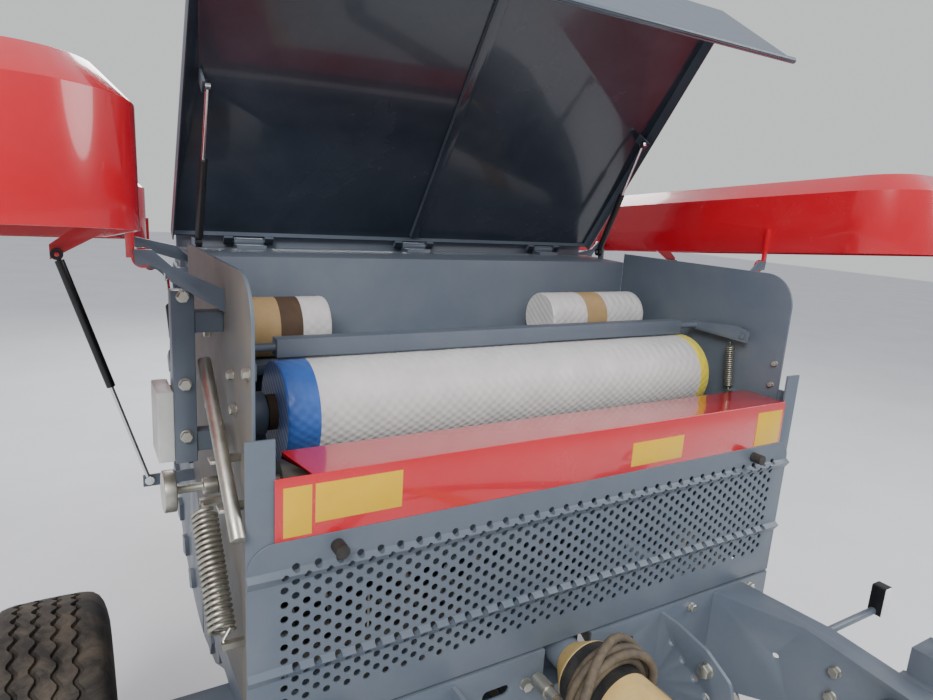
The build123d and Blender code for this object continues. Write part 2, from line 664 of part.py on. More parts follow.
def back_wall():
    """Rear wall, shelf and top deck of the net box, with the lid's hinge tubes and strut pins."""
    inside = BOX_HALF - BOX_T
    notch = SIDE_X + SEAT_GAP
    wall = block(-inside, inside, BOX_BACK_Y, BOX_BACK_Y + 4, SHELF_Z - 30, DECK_Z + 4)
    wall = wall - block(-notch, notch, BOX_BACK_Y - 1, BOX_BACK_Y + 5, SHELF_Z - 31, SHELF_Z + 11)
    back = DECK_BACK_Y
    high = DECK_Z + DECK_RISE
    slope = [(BOX_BACK_Y, DECK_Z), (back, high), (back, high + 4), (BOX_BACK_Y, DECK_Z + 4)]
    pieces = [
        block(-inside, inside, 440, 686, SHELF_Z - 4, SHELF_Z),
        block(-inside, inside, 682, 686, SHELF_Z - 4, SHELF_Z + 15),
        block(-inside, inside, 684, BOX_BACK_Y + 1, SHELF_Z + 12, SHELF_Z + 15),
        block(-inside, inside, 440, 444, SHELF_Z - 4, SHELF_Z + 20),
        plate_x(slope, -inside, 2 * inside),
    ]
    y, z = LID_HINGE
    edge = y + LID_RISE - 6
    pieces.append(block(-inside, inside, back - 1, edge + 3, high, high + 3))
    pieces.append(block(-inside, inside, edge, edge + 3, high, z + LID_RISE - 2))
    for x in KNUCKLE_XS:
        pieces.append(bar_x(x - 40, x + 40, y, z, LID_PIN_R + 5))
        pieces.append(block(x - 40, x + 40, back - 30, y + 4, high, z - 6))
    bores = [bar_x(x - 41, x + 41, y, z, LID_PIN_R + RUN_FIT) for x in KNUCKLE_XS]
    low_y, low_z = LID_STRUT_LOW
    ear_x = LID_STRUT_X + STRUT_R + 1
    ear = block(ear_x, ear_x + 6, low_y - 12, low_y + 12, DECK_Z + 2, low_z + 12)
    pin = bar_x(LID_STRUT_X - STRUT_EYE_T / 2 - 3, ear_x + 1, low_y, low_z, STRUT_PIN_R)
    return wall + pieces + both(ear + pin) - bores


# Lid and hold-down bar

def lid_shut():
    y, z = LID_HINGE
    top = z + LID_RISE
    under = top - SHEET_T
    front = LID_FRONT_Y
    hem_y = front - LID_LIP * sin(radians(LID_LEAN))
    hem_z = top - LID_LIP * cos(radians(LID_LEAN))
    sheet = block(-LID_HALF, LID_HALF, front, y - 16, under, top)
    lip = [(front, top), (front + SHEET_T, top), (hem_y + SHEET_T, hem_z), (hem_y, hem_z)]
    pieces = [
        block(-LID_HALF, LID_HALF, y - 19, y - 16, z + 2, top),
        plate_x(lip, -LID_HALF, 2 * LID_HALF),
        bar_x(-LID_HALF, LID_HALF, hem_y + SHEET_T / 2, hem_z, LID_HEM_R),
        block(-15, 15, front + 40, y - 30, under - 14, under + 1),
    ]
    pieces += both(block(LID_HALF - SHEET_T, LID_HALF, front, y - 16, top - LID_FLANGE, top))
    for x in KNUCKLE_XS:
        pieces.append(bar_x(x - 68, x + 68, y, z, LID_PIN_R))
        pieces += [block(x + s * 56 - 12, x + s * 56 + 12, y - 18, y + 6, z - 6, z + 8) for s in (-1, 1)]
    arm_y = y - LID_STRUT_ARM
    ear_x = LID_STRUT_X + STRUT_EYE_T / 2 + EYE_GAP
    pieces += both(block(ear_x, ear_x + 6, arm_y - 14, arm_y + 14, z - LID_STRUT_DROP - 12, under + 1))
    return sheet + pieces


def hold_bar():
    y0, z0 = HOLD_PIVOT
    y1, z1 = HOLD_BAR
    x = HOLD_ARM_X
    half = HOLD_BAR_SIZE / 2
    tube = block(82 - x, x - 82, y1 - half, y1 + half, z1 - half, z1 + half)
    tube = tube + bar_x(-x - 1, x + 1, y1, z1, 9)
    front = [(y0 + 20, z0 + 26), (y0 - 20, z0 + 16), (y0 - 20, z0 - 16)]
    points = front + [(y1 + 14, z1 - 12), (y1 + 14, z1 + 12)]
    arm = plate_x(points, x, 6) - bar_x(x - 1, x + 7, y0, z0, HOLD_PIN_R + RUN_FIT)
    return tube + both(arm)


# Side covers

def cover(sizes, strut_ear):
    """A left-hand cover, drawn shut and then raised about its pivot."""
    y0, length, px, pz, x_in, z_top, drop, _ = sizes
    corners = [(0, 0), (length, 0), (length, -drop), (0, -drop)]
    face = outline(corners, rounds=(0, 1, 2, 3), radius=COVER_ROUND)
    solid = extrude(Plane.YZ * face, COVER_DEPTH, dir=(1, 0, 0))
    solid = chamfer(solid.faces().sort_by(Axis.X)[-1].edges(), COVER_BEVEL)
    shell = offset(solid, amount=-COVER_T, openings=solid.faces().sort_by(Axis.X)[0])
    shell = Pos(x_in, y0, z_top) * Rot(0, 0, COVER_YAW) * shell
    slope = sin(radians(COVER_YAW))
    pieces = []
    for y in lug_ys(sizes):
        edge = x_in - (y - y0) * slope
        pieces.append(block(px, edge + 70, y, y + LUG_T, z_top - 4, z_top + 10))
        pieces.append(bar_y(px, y, y + LUG_T, pz, COVER_PIN_R + 8))
    if strut_ear:
        y = COVER_STRUT_Y + STRUT_R + 1
        x, z = px + COVER_STRUT_REACH[1], pz - COVER_STRUT_REACH[0]
        pieces.append(bar_y(x, COVER_STRUT_Y - STRUT_EYE_T / 2 - 3, y + 1, z, STRUT_PIN_R))
        edge = x_in - (y - y0) * slope
        low = z_top - 4
        corners = [(x - 14, z - 14), (x + 20, z - 14), (edge + 70, low), (edge + 14, low)]
        pieces.append(plate_y(corners, y, 6))
    bores = [bar_y(px, y - 1, y + LUG_T + 1, pz, COVER_PIN_R + RUN_FIT) for y in lug_ys(sizes)]
    return turn_y(shell + pieces - bores, (px, pz), -90)


# Tailgate

def tail_side():
    split = CHAMBER_Y + SPLIT_GAP
    y, z = TAIL_HINGE
    x = CHAMBER_HALF
    disc = bar_x(x, x + SIDE_T, CHAMBER_Y, CHAMBER_Z, TAIL_R)
    wide = 2 * TAIL_R
    disc = disc & block(x, x + SIDE_T, split, split + wide, CHAMBER_Z - wide, CHAMBER_Z + wide)
    arm = plate_x([(split, CHAMBER_Z + 600), (split, z - 20), (y - 10, z + 26), (y + 26, z + 16),
                   (y + 120, CHAMBER_Z + 640)], x, SIDE_T)
    plate = disc + arm - bar_x(x - 1, x + SIDE_T + 1, y, z, TAIL_PIN_R + RUN_FIT)
    pieces = [bar_x(SIDE_X, CYL_X - CYL_EYE_T / 2 - EYE_GAP, *CYL_HIGH, CYL_ROD_R + 12)]
    pieces += [cover_arm(REAR_COVER, which, SIDE_X) for which in (0, 1)]
    return apart(plate + [bearing(angle) for angle in REAR_ANGLES], pieces)


# Pickup and feed

def pickup_side():
    y, z = PICK_PIVOT
    points = [
        (20, 250), (120, 150), (330, 150), (430, 240), (y + 28, z - 40), (y + 32, z + 20), (y, z + 36),
        (y - 34, z + 24), (330, 450), (120, 450),
    ]
    plate = plate_x(points, PICK_HALF, 8, rounds=(0, 1, 2, 9), radius=30)
    plate = plate - bar_x(PICK_HALF - 1, PICK_HALF + 9, *PICK_PIVOT, PICK_PIN_R + RUN_FIT)
    pin = bar_x(PICK_HALF + 7, GAUGE_X + 44, GAUGE_Y, GAUGE_Z, GAUGE_PIN_R)
    arm = block(PICK_HALF + 7, PICK_HALF + 14, GAUGE_Y - 26, 160, GAUGE_Z - 26, GAUGE_Z + 110)
    return plate + [pin, arm]


def pickup_frame():
    """Both side plates, with the cross bars that carry the bands and the wind guard's ears."""
    half = PICK_HALF + 1
    y, z = GUARD_PIVOT
    x = GUARD_HALF
    ear = block(x + 14, x + 22, y - 14, y + 14, BAND_TOP - 4, z + 14)
    ear = ear + bar_x(x - 2, x + 16, y, z, GUARD_PIN_R)
    upper = block(-half, half, BAND_TOP_Y - 55, BAND_TOP_Y, BAND_TOP - 37, BAND_TOP - BAND_T)
    lower = block(-half, half, BAND_LOW_Y - 33, BAND_LOW_Y, BAND_LOW + BAND_T, BAND_LOW + 35)
    shaft = bar_x(-half, half, REEL_Y, REEL_Z, REEL_SHAFT_R)
    return shaft + [upper, lower] + both(ear) + both(pickup_side())


def pickup_reel():
    hub = bar_x(-PICK_HALF + 12, PICK_HALF - 12, REEL_Y, REEL_Z, 30)
    disc_xs = [(PICK_HALF - 30) * share for share in (-1, -1 / 3, 1 / 3, 1)]
    pieces = [bar_x(x - 4, x + 4, REEL_Y, REEL_Z, REEL_R + 12) for x in disc_xs]
    for row in range(TINE_ROWS):
        place = Pos(0, REEL_Y, REEL_Z) * Rot(360 / TINE_ROWS * row + 20, 0, 0)
        pieces.append(place * Pos(0, REEL_R, 0) * Box(2 * PICK_HALF - 50, 22, 22))
        for i in range(-TINES_HALF, TINES_HALF + 1):
            tine = Box(TINE_SIZE, TINE_TIP_R - REEL_R, TINE_SIZE)
            pieces.append(place * Pos(i * TINE_STEP, (TINE_TIP_R + REEL_R) / 2, 0) * tine)
    return hub + pieces - bar_x(-PICK_HALF, PICK_HALF, REEL_Y, REEL_Z, REEL_SHAFT_R + RUN_FIT)


def pickup_band(x):
    """One stripper band: a bent strip round the reel's front, fixed to both cross bars."""
    reach = (BAND_R ** 2 - 60 ** 2) ** 0.5
    y = REEL_Y + 60
    out = BAND_R + 1
    strip = bar_x(x, x + BAND_W, REEL_Y, REEL_Z, BAND_R)
    strip = strip - bar_x(x - 1, x + BAND_W + 1, REEL_Y, REEL_Z, BAND_R - BAND_T)
    strip = strip & block(x, x + BAND_W, REEL_Y - out, y, REEL_Z - out, REEL_Z + out)
    end, high = BAND_TOP_Y, BAND_TOP
    deck = [(y - 1, REEL_Z + reach), (end - 55, high), (end, high), (end, high - BAND_T),
            (end - 55, high - BAND_T), (y - 1, REEL_Z + reach - BAND_T)]
    end, low = BAND_LOW_Y, BAND_LOW
    belly = [(y - 1, REEL_Z - reach), (end - 33, low), (end, low), (end, low + BAND_T),
             (end - 33, low + BAND_T),
             (y - 1, REEL_Z - reach + BAND_T)]
    return strip + [plate_x(deck, x, BAND_W), plate_x(belly, x, BAND_W)]


def wind_guard():
    """Crop guard over the pickup: a front tube on two arms, with rods that trail to the rear."""
    y0, z0 = GUARD_PIVOT
    y1, z1 = GUARD_TUBE
    y2, z2 = GUARD_BEND
    x = GUARD_HALF + 2
    rear = [(y0 + 14, z0 - 12), (y0 + 14, z0 + 14)]
    points = [(y1 - 10, z1), (y2, z2 - 10)] + rear + [(y2, z2 + 12), (y1 - 16, z1 + 10)]
    arm = plate_x(points, x, 6) - bar_x(x - 1, x + 7, y0, z0, GUARD_PIN_R + RUN_FIT)
    line = [(y1, z1 + 10), (y2, z2 - 8), (430, z2 - 8), (430, z2), (y2, z2), (y1, z1 + 20)]
    most = int(GUARD_HALF // TINE_STEP)
    rods = [plate_x(line, i * TINE_STEP - 4, 8) for i in range(-most, most + 1)]
    return bar_x(-x - 6, x + 6, y1, z1, 20) + rods + both(arm)


def gauge_wheel(side):
    half = 40
    bore = GAUGE_PIN_R + RUN_FIT
    ring = [
        (-half, 60), (-half - 6, 120), (-half + 4, GAUGE_R - 8), (-20, GAUGE_R), (20, GAUGE_R),
        (half - 4, GAUGE_R - 8), (half + 6, 120), (half, 60),
    ]
    hub = [(-30, bore), (-30, 61), (30, 61), (30, bore)]
    x = side * GAUGE_X
    return ring_x(ring, x, GAUGE_Y, GAUGE_Z) + ring_x(hub, x, GAUGE_Y, GAUGE_Z)


def feed_rotor():
    """Rotor that takes the crop into the chamber, with arms set round it in a spiral."""
    shaft = bar_x(-CHAMBER_HALF + MOVE_GAP, CHAMBER_HALF - MOVE_GAP, ROTOR_Y, ROTOR_Z, 60)
    arms = [bar_x(-CHAMBER_HALF + 0.5, CHAMBER_HALF - 0.5, ROTOR_Y, ROTOR_Z, 25)]
    for i in range(-6, 7):
        for k in range(4):
            arm = Pos(0, ROTOR_R / 2 + 26, 0) * Box(8, ROTOR_R - 52, 44)
            arms.append(Pos(i * ROTOR_STEP, ROTOR_Y, ROTOR_Z) * Rot(30 * (i % 3) + 90 * k, 0, 0) * arm)
    return shaft + arms


# Drive line

def gearbox():
    half = GEAR_HALF
    case = block(-half, half, 80, 80 + 2 * half, GEAR_Z - half, GEAR_Z + half)
    case = fillet(case.edges().filter_by(Axis.Y), 30)
    neck = bar_y(0, -60, 81, GEAR_Z, NECK_R) + bar_y(0, PTO_Y + PTO_BALL_R + EYE_GAP, -59, GEAR_Z, 20)
    low = GEAR_Z - half - 6
    seat = block(-half + 10, half - 10, CROSS_FRONT + CROSS_T, 120, low, low + 16)
    cross = bar_x(half, CHAMBER_HALF, 80 + half, GEAR_Z, 24)
    return apart(case, [neck, seat] + both(cross))


def pto_shield():
    """Cone on the gearbox's neck that covers the drive shaft's joint."""
    seat = NECK_R + SEAT_GAP
    profile = [
        (seat, -20), (NECK_R + 4, -20), (SHIELD_R, -70), (SHIELD_R, SHIELD_FRONT),
        (SHIELD_R - 4, SHIELD_FRONT), (SHIELD_R - 4, -72), (seat, -26),
    ]
    return ring_y(profile, 0, GEAR_Z)


def pto_ring(profile):
    """Turns a half outline of (radius, distance from the pivot) corners about the drive shaft."""
    body = revolve(outline([(radius, -along) for radius, along in profile]), Axis.Y)
    return Pos(0, PTO_Y, GEAR_Z) * Rot(PTO_DROP, 0, 0) * body


def pto_shaft():
    end = PTO_LEN
    tip = end + 120
    low = SPLINE_R + 14
    body = pto_ring([
        (0, 10), (0, tip - SPLINE_LEN), (SPLINE_R, tip - SPLINE_LEN), (SPLINE_R, tip), (low, tip),
        (low, end + 34),
        (PTO_SHAFT_R, end + 20), (PTO_SHAFT_R, 10),
    ])
    joint = Pos(0, PTO_Y, GEAR_Z) * Sphere(PTO_BALL_R)
    return body + [joint, bar_x(-PTO_PIN_HALF, PTO_PIN_HALF, PTO_Y, GEAR_Z, PTO_PIN_R)]


def pto_guard():
    """Plastic tube on two bearing rings, with the wide cone on its front end as a solid of its own."""
    turn = radians(PTO_DROP)
    start = (PTO_Y - SHIELD_FRONT + MOVE_GAP + PTO_GUARD_R * sin(turn)) / cos(turn)
    end = PTO_LEN
    cone = end - 90
    bore = PTO_SHAFT_R + RUN_FIT
    wide = PTO_GUARD_R
    inner = wide - 4
    tube = pto_ring([
        (bore, start), (wide, start), (wide, cone), (inner, cone), (inner, end - 120), (bore, end - 120),
        (bore, end - 150), (inner, end - 150), (inner, start + 30), (bore, start + 30),
    ])
    flare = pto_ring([
        (inner, cone + SEAT_GAP), (wide, cone + SEAT_GAP), (58, end - 30), (58, end + 10), (54, end + 10),
        (54, end - 30),
    ])
    return [tube, flare]


# Hose wound round the shield

def hose_coil():
    """The outer shape of the wound hose, a ring on the shield."""
    ring = bar_y(0, COIL_FRONT, COIL_BACK, GEAR_Z, COIL_R)
    return ring - bar_y(0, COIL_FRONT - 1, COIL_BACK + 1, GEAR_Z, SHIELD_R + SEAT_GAP)


def hose_fitting(coil):
    """Nut on the cross-member's slot with the pipe end that the hose is pressed on."""
    x, y, z = HOSE_PORT
    nut = bar_y(x, y - 16, y, z, 20)
    pipe = rod((x, y - 12, z), HOSE_EXIT, HOSE_R + 2) + Pos(x, y - 12, z) * Sphere(HOSE_R + 2)
    return nut + pipe - coil


def hose_coupler(coil):
    """Quick coupler on the hose's free end, lying against the coil."""
    back = COIL_BACK + 14
    sleeve = bar_y(COUPLER_X, back - 44, back, COUPLER_Z, 17)
    return sleeve + bar_y(COUPLER_X, back - 70, back, COUPLER_Z, HOSE_R + 3) - coil


# Fittings on the machine's right, beside the net box

def side_post():
    z0, z1 = PANEL_Z + 455, PANEL_Z + 790
    y = POST_Y
    feet = [block(POST_X + 39, -BOX_HALF, y - 16, y + 16, z - 20, z + 20) for z in (z0 + 40, z1 - 60)]
    return block(POST_X, POST_X + 40, y - 20, y + 20, z0, z1) + feet


def net_lever():
    guides = [block(LEVER_X - 20, wall, y - 14, y + 14, z - 3, z + 3)
              for wall, y, z in ((-BOX_HALF, 118, PANEL_Z + 511), (-BOX_HALF - BOX_T, 45, PANEL_Z + 452))]
    return rod((LEVER_X, *LEVER_TOP), (LEVER_X, *LEVER_END), LEVER_R) + guides


def side_spring():
    x = -BOX_HALF - 41
    ends = [block(x - 5, wall, y - 6, y + 6, z - 6, z + 6)
            for wall, y, z in ((-BOX_HALF, *SPRING_HIGH), (-BOX_HALF - BOX_T, *SPRING_LOW))]
    return rod((x, *SPRING_HIGH), (x, *SPRING_LOW), 22) + ends


def pressure_gauge():
    y, z = GAUGE_AT
    dial = bar_x(-BOX_HALF - 108, -BOX_HALF - 84, y, z, 44)
    return dial + [bar_x(-BOX_HALF - 85, -BOX_HALF, y, z, 9), bar_x(-BOX_HALF - 30, -BOX_HALF, y, z, 18)]


def main():
    for side, word in ((1, "left"), (-1, "right")):
        save(f"tyre_{word}", tyre(side))
        save(f"rim_{word}", rim(side))
        save(f"gauge_wheel_{word}", gauge_wheel(side))
    save("axle", axle())
    save("chamber_sides", *[piece for shape in front_side() for piece in both(shape)])
    save("chamber_rollers", *[roller(angle) for angle in FRONT_ANGLES])
    save("chamber_skin", skin(90.6, 198))
    save("cross_member", cross_member())
    save("drawbar_beams", *[piece for shape in drawbar_beam() for piece in both(shape)])
    save("tongue", *tongue())
    save("jack_case", *jack_case())
    save("jack_leg", jack_leg())
    save("net_box_sides", *net_box_sides())
    save("net_box_back", back_wall())
    save("front_panel", front_panel())
    save("knife_cover", knife_cover())
    save("panel_buffers", *[bar_y(x, -SHEET_T - 30, -SHEET_T, PANEL_Z + 367, 13) for x in (-575, 583)])
    save("feed_roller_rubber", feed_roller(70, PANEL_Z + 400, 42))
    save("feed_roller_steel", feed_roller(150, PANEL_Z + 440, 38))
    core = bar_x(NET_X0 - 18, NET_X1 + 18, NET_Y, NET_Z, CORE_R)
    save("net_core", core - bar_x(NET_X0 - 20, NET_X1 + 20, NET_Y, NET_Z, CORE_R - CORE_WALL))
    net = bar_x(NET_X0, NET_X1, NET_Y, NET_Z, NET_R)
    save("net_roll", net - bar_x(NET_X0 - 1, NET_X1 + 1, NET_Y, NET_Z, CORE_R))
    save("spare_rolls", *[bar_x(x0, x1, SPARE_Y, SHELF_Z + SPARE_R, SPARE_R) for x0, x1 in SPARE_ROLLS])
    save("hold_bar", hold_bar())
    save("lid", turn_x(lid_shut(), LID_HINGE, -LID_OPEN))
    gas = (STRUT_INSIDE, STRUT_R, STRUT_ROD_R, STRUT_EYE_T, STRUT_PIN_R)
    tube, stem = side_strut(LID_STRUT_X, LID_STRUT_LOW, lid_eye(), LID_STRUT_TUBE, *gas)
    save("lid_strut_tubes", *both(tube))
    save("lid_strut_rods", *both(stem))
    for word, sizes in (("front", FRONT_COVER), ("rear", REAR_COVER)):
        left, right = both(cover(sizes, strut_ear=word == "front"))
        save(f"{word}_cover_left", left)
        save(f"{word}_cover_right", right)
    high = (FRONT_COVER[2] + COVER_STRUT_REACH[0], FRONT_COVER[3] + COVER_STRUT_REACH[1])
    tube, stem = front_strut(COVER_STRUT_Y, high, COVER_STRUT_LOW, COVER_STRUT_TUBE, *gas)
    for name, piece in (("cover_strut_tube", tube), ("cover_strut_rod", stem)):
        left, right = both(piece)
        save(f"{name}_left", left)
        save(f"{name}_right", right)
    save("tailgate_sides", *[piece for shape in tail_side() for piece in both(shape)])
    save("tailgate_skin", skin(-31, 89.4))
    save("tailgate_rollers", *[roller(angle) for angle in REAR_ANGLES])
    ram = (CYL_TUBE, CYL_INSIDE, CYL_R, CYL_ROD_R, CYL_EYE_T, CYL_PIN_R)
    tube, stem = side_strut(CYL_X, CYL_LOW, CYL_HIGH, *ram)
    save("tail_cylinder_tubes", *both(tube))
    save("tail_cylinder_rods", *both(stem))
    save("pickup_frame", pickup_frame())
    save("pickup_bands", *[pickup_band(i * TINE_STEP + 13) for i in range(-TINES_HALF - 1, TINES_HALF + 1)])
    save("pickup_reel", pickup_reel())
    save("wind_guard", wind_guard())
    save("feed_rotor", feed_rotor())
    save("gearbox", *gearbox())
    save("pto_shield", pto_shield())
    save("pto_shaft", pto_shaft())
    save("pto_guard", *pto_guard())
    coil = hose_coil()
    save("hose_coil", coil)
    save("hose_fitting", hose_fitting(coil))
    save("hose_coupler", hose_coupler(coil))
    back = BEAM_KNEE_Y + 5
    lamp = block(LAMP_X, LAMP_X + 35, back - 40, back, PANEL_Z - 70, PANEL_Z + 16)
    save("marker_lamps", *both(lamp))
    save("side_post", side_post())
    save("net_lever", net_lever())
    save("control_box", block(POST_X - 30, POST_X, POST_Y - 20, POST_Y + 80, PANEL_Z + 460, PANEL_Z + 600))
    save("pressure_gauge", pressure_gauge())
    save("side_spring", side_spring())


main()
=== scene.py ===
# %% [markdown]
# # A towed round baler, dressed for its portrait
# The construction comes from the CAD model: every plate, tube and pin is already at its real size.
# This script loads it as a fixed frame and gives each surface its finish, and it rebuilds what a plain
# solid can't show: holes, wound net, springs, tread, bolts and hoses.
# We start by loading the frame, with a small function that gives a part's box.

# %% Load the frame
import json
import math

import bmesh
import bpy
from mathutils import Euler, Matrix, Vector


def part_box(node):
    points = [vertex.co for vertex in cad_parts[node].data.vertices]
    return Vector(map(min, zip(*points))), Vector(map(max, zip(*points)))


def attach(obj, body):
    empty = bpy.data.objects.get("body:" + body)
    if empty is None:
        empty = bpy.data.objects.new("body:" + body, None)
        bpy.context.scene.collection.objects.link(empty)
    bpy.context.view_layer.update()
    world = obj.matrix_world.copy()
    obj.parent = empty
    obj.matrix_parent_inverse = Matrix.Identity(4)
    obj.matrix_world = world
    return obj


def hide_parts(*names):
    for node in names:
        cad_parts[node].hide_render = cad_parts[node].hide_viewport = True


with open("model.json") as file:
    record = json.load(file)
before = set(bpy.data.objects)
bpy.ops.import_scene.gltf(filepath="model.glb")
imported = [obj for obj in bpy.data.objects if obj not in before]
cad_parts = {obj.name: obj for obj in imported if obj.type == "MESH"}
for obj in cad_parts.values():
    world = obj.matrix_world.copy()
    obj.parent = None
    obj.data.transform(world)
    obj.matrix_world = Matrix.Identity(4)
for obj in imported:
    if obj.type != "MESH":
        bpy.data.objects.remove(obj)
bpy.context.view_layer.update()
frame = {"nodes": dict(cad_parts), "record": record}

# %% [markdown]
# ## Camera
# The photograph was taken by someone standing at the front right corner and looking down into the net box.
# Blender could aim a camera with a Track To constraint, but a measured position and three angles are plainer:
# the camera turns about its own forward line first, then looks down, then turns to the side.

# %% Camera
PHOTO_WIDTH = 933
FOCAL_PX = 665.3
SENSOR_MM = 36
EYE = Vector((-0.960, -1.042, 1.937))
YAW, PITCH, ROLL = -0.544, -0.215, -0.064


def put_in_scene(name, data):
    """A new object for a mesh, curve, lamp or camera, linked to the scene."""
    made = bpy.data.objects.new(name, data)
    bpy.context.collection.objects.link(made)
    return made


camera_data = bpy.data.cameras.new("photo_camera")
camera_data.sensor_width = SENSOR_MM
camera_data.lens = FOCAL_PX * SENSOR_MM / PHOTO_WIDTH
camera_data.clip_start = 0.02
camera = put_in_scene("photo_camera", camera_data)
look = Matrix.Rotation(YAW, 3, "Z") @ Matrix.Rotation(PITCH, 3, "X") @ Matrix.Rotation(ROLL, 3, "Y")
level = Matrix.Rotation(math.radians(90), 3, "X")  # an unturned camera looks straight down
camera.matrix_world = Matrix.Translation(EYE) @ (look @ level).to_4x4()
bpy.context.scene.camera = camera
print("lens", round(camera_data.lens, 2), "mm")

# %% [markdown]
# ## One helper for nodes, one for colours
# Materials and Geometry Nodes are both made of nodes with settings, values and links.
# A single small function covers all of them: it adds a node, sets what it is told and links sockets.
# Colours are written as they look on a screen, in sRGB hex, and Blender works in linear light,
# so one function turns the first into the second.

# %% Helpers for nodes and colours


def add(tree, kind, inputs=None, **settings):
    """Adds a node; an input's value is a number, a colour or another node's socket."""
    made = tree.nodes.new(kind)
    for name, value in settings.items():
        setattr(made, name, value)
    for key, value in (inputs or {}).items():
        if isinstance(value, bpy.types.NodeSocket):
            tree.links.new(value, made.inputs[key])
        else:
            made.inputs[key].default_value = value
    return made


def linear(hex_colour):
    """A linear RGBA colour from an sRGB hex string."""
    parts = [int(hex_colour[i:i + 2], 16) / 255 for i in (1, 3, 5)]
    return [v / 12.92 if v <= 0.04045 else ((v + 0.055) / 1.055) ** 2.4 for v in parts] + [1.0]


print("screen grey #808080 is", round(linear("#808080")[0], 3), "in linear light")

# %% [markdown]
# ## Floor, sky and lamps
# A studio for a machine four metres long is a pale floor under an even sky with one broad key lamp.
# The sky is brighter above than at the horizon, because glossy paint shows its form by what it reflects.
# Camera rays see a plain pale backdrop instead, so the background doesn't depend on the light.

# %% Sky
world = bpy.data.worlds.new("studio")
bpy.context.scene.world = world
world.use_nodes = True
sky = world.node_tree
sky.nodes.clear()
direction = add(sky, "ShaderNodeTexCoord")
height = add(sky, "ShaderNodeSeparateXYZ", {0: direction.outputs["Generated"]})
ramp = add(sky, "ShaderNodeValToRGB", {0: height.outputs["Z"]})
for stop, position, colour in zip(ramp.color_ramp.elements, (0.0, 0.55), ("#8d9299", "#f4f7ff")):
    stop.position = position
    stop.color = linear(colour)
light_sky = add(sky, "ShaderNodeBackground", {"Color": ramp.outputs[0], "Strength": 0.85})
backdrop = add(sky, "ShaderNodeBackground", {"Color": linear("#dfe1e2"), "Strength": 1.0})
path = add(sky, "ShaderNodeLightPath")
seen = add(sky, "ShaderNodeMixShader", {0: path.outputs["Is Camera Ray"], 1: light_sky.outputs[0],
                                        2: backdrop.outputs[0]})
add(sky, "ShaderNodeOutputWorld", {0: seen.outputs[0]})
print("sky nodes:", len(sky.nodes))

# %% Floor and lamps
LAMPS = [  # name, place, the point that it aims at, width in metres, power in watts
    ("key", (-4.5, -5.0, 6.5), (0, 0.2, 1.2), 4.0, 620),
    ("fill", (5.5, -2.5, 4.5), (0, 0.5, 1.0), 4.0, 200),
    ("rear", (1.5, 7.0, 5.0), (0, 0.8, 1.0), 4.0, 330),
]
FLOOR_HALF = 30
for name, place, target, width, power in LAMPS:
    data = bpy.data.lights.new(name, "AREA")
    data.shape = "DISK"
    data.size = width
    data.energy = power
    lamp = put_in_scene(name, data)
    lamp.location = place
    lamp.rotation_euler = (Vector(target) - Vector(place)).to_track_quat("-Z", "Y").to_euler()

floor_mesh = bpy.data.meshes.new("floor")
corners = [(x * FLOOR_HALF, y * FLOOR_HALF, 0) for x, y in ((-1, -1), (1, -1), (1, 1), (-1, 1))]
floor_mesh.from_pydata(corners, [], [(0, 1, 2, 3)])
floor = put_in_scene("floor", floor_mesh)
print("lamps:", [row[0] for row in LAMPS])

# %% [markdown]
# ## Finishes
# Each finish starts from what the real surface is and how it was made, because that decides its colour,
# its gloss and its grain. A coat of paint has long soft waves, a galvanised plate has crystals as big as
# a fingernail, and dust settles in patches. The patterns read Object coordinates, which are metres here,
# so a scale of 50 means a feature about 20 mm wide.
# One function lays the parts that all the finishes share: a colour that drifts between two tones,
# a roughness that drifts with it, and a fine bump. Each finish then gives its own numbers.
# Noise seldom comes near 0 or 1, so Map Range stretches its middle part over the whole drift.

# %% A finish with drifting colour, roughness and bump


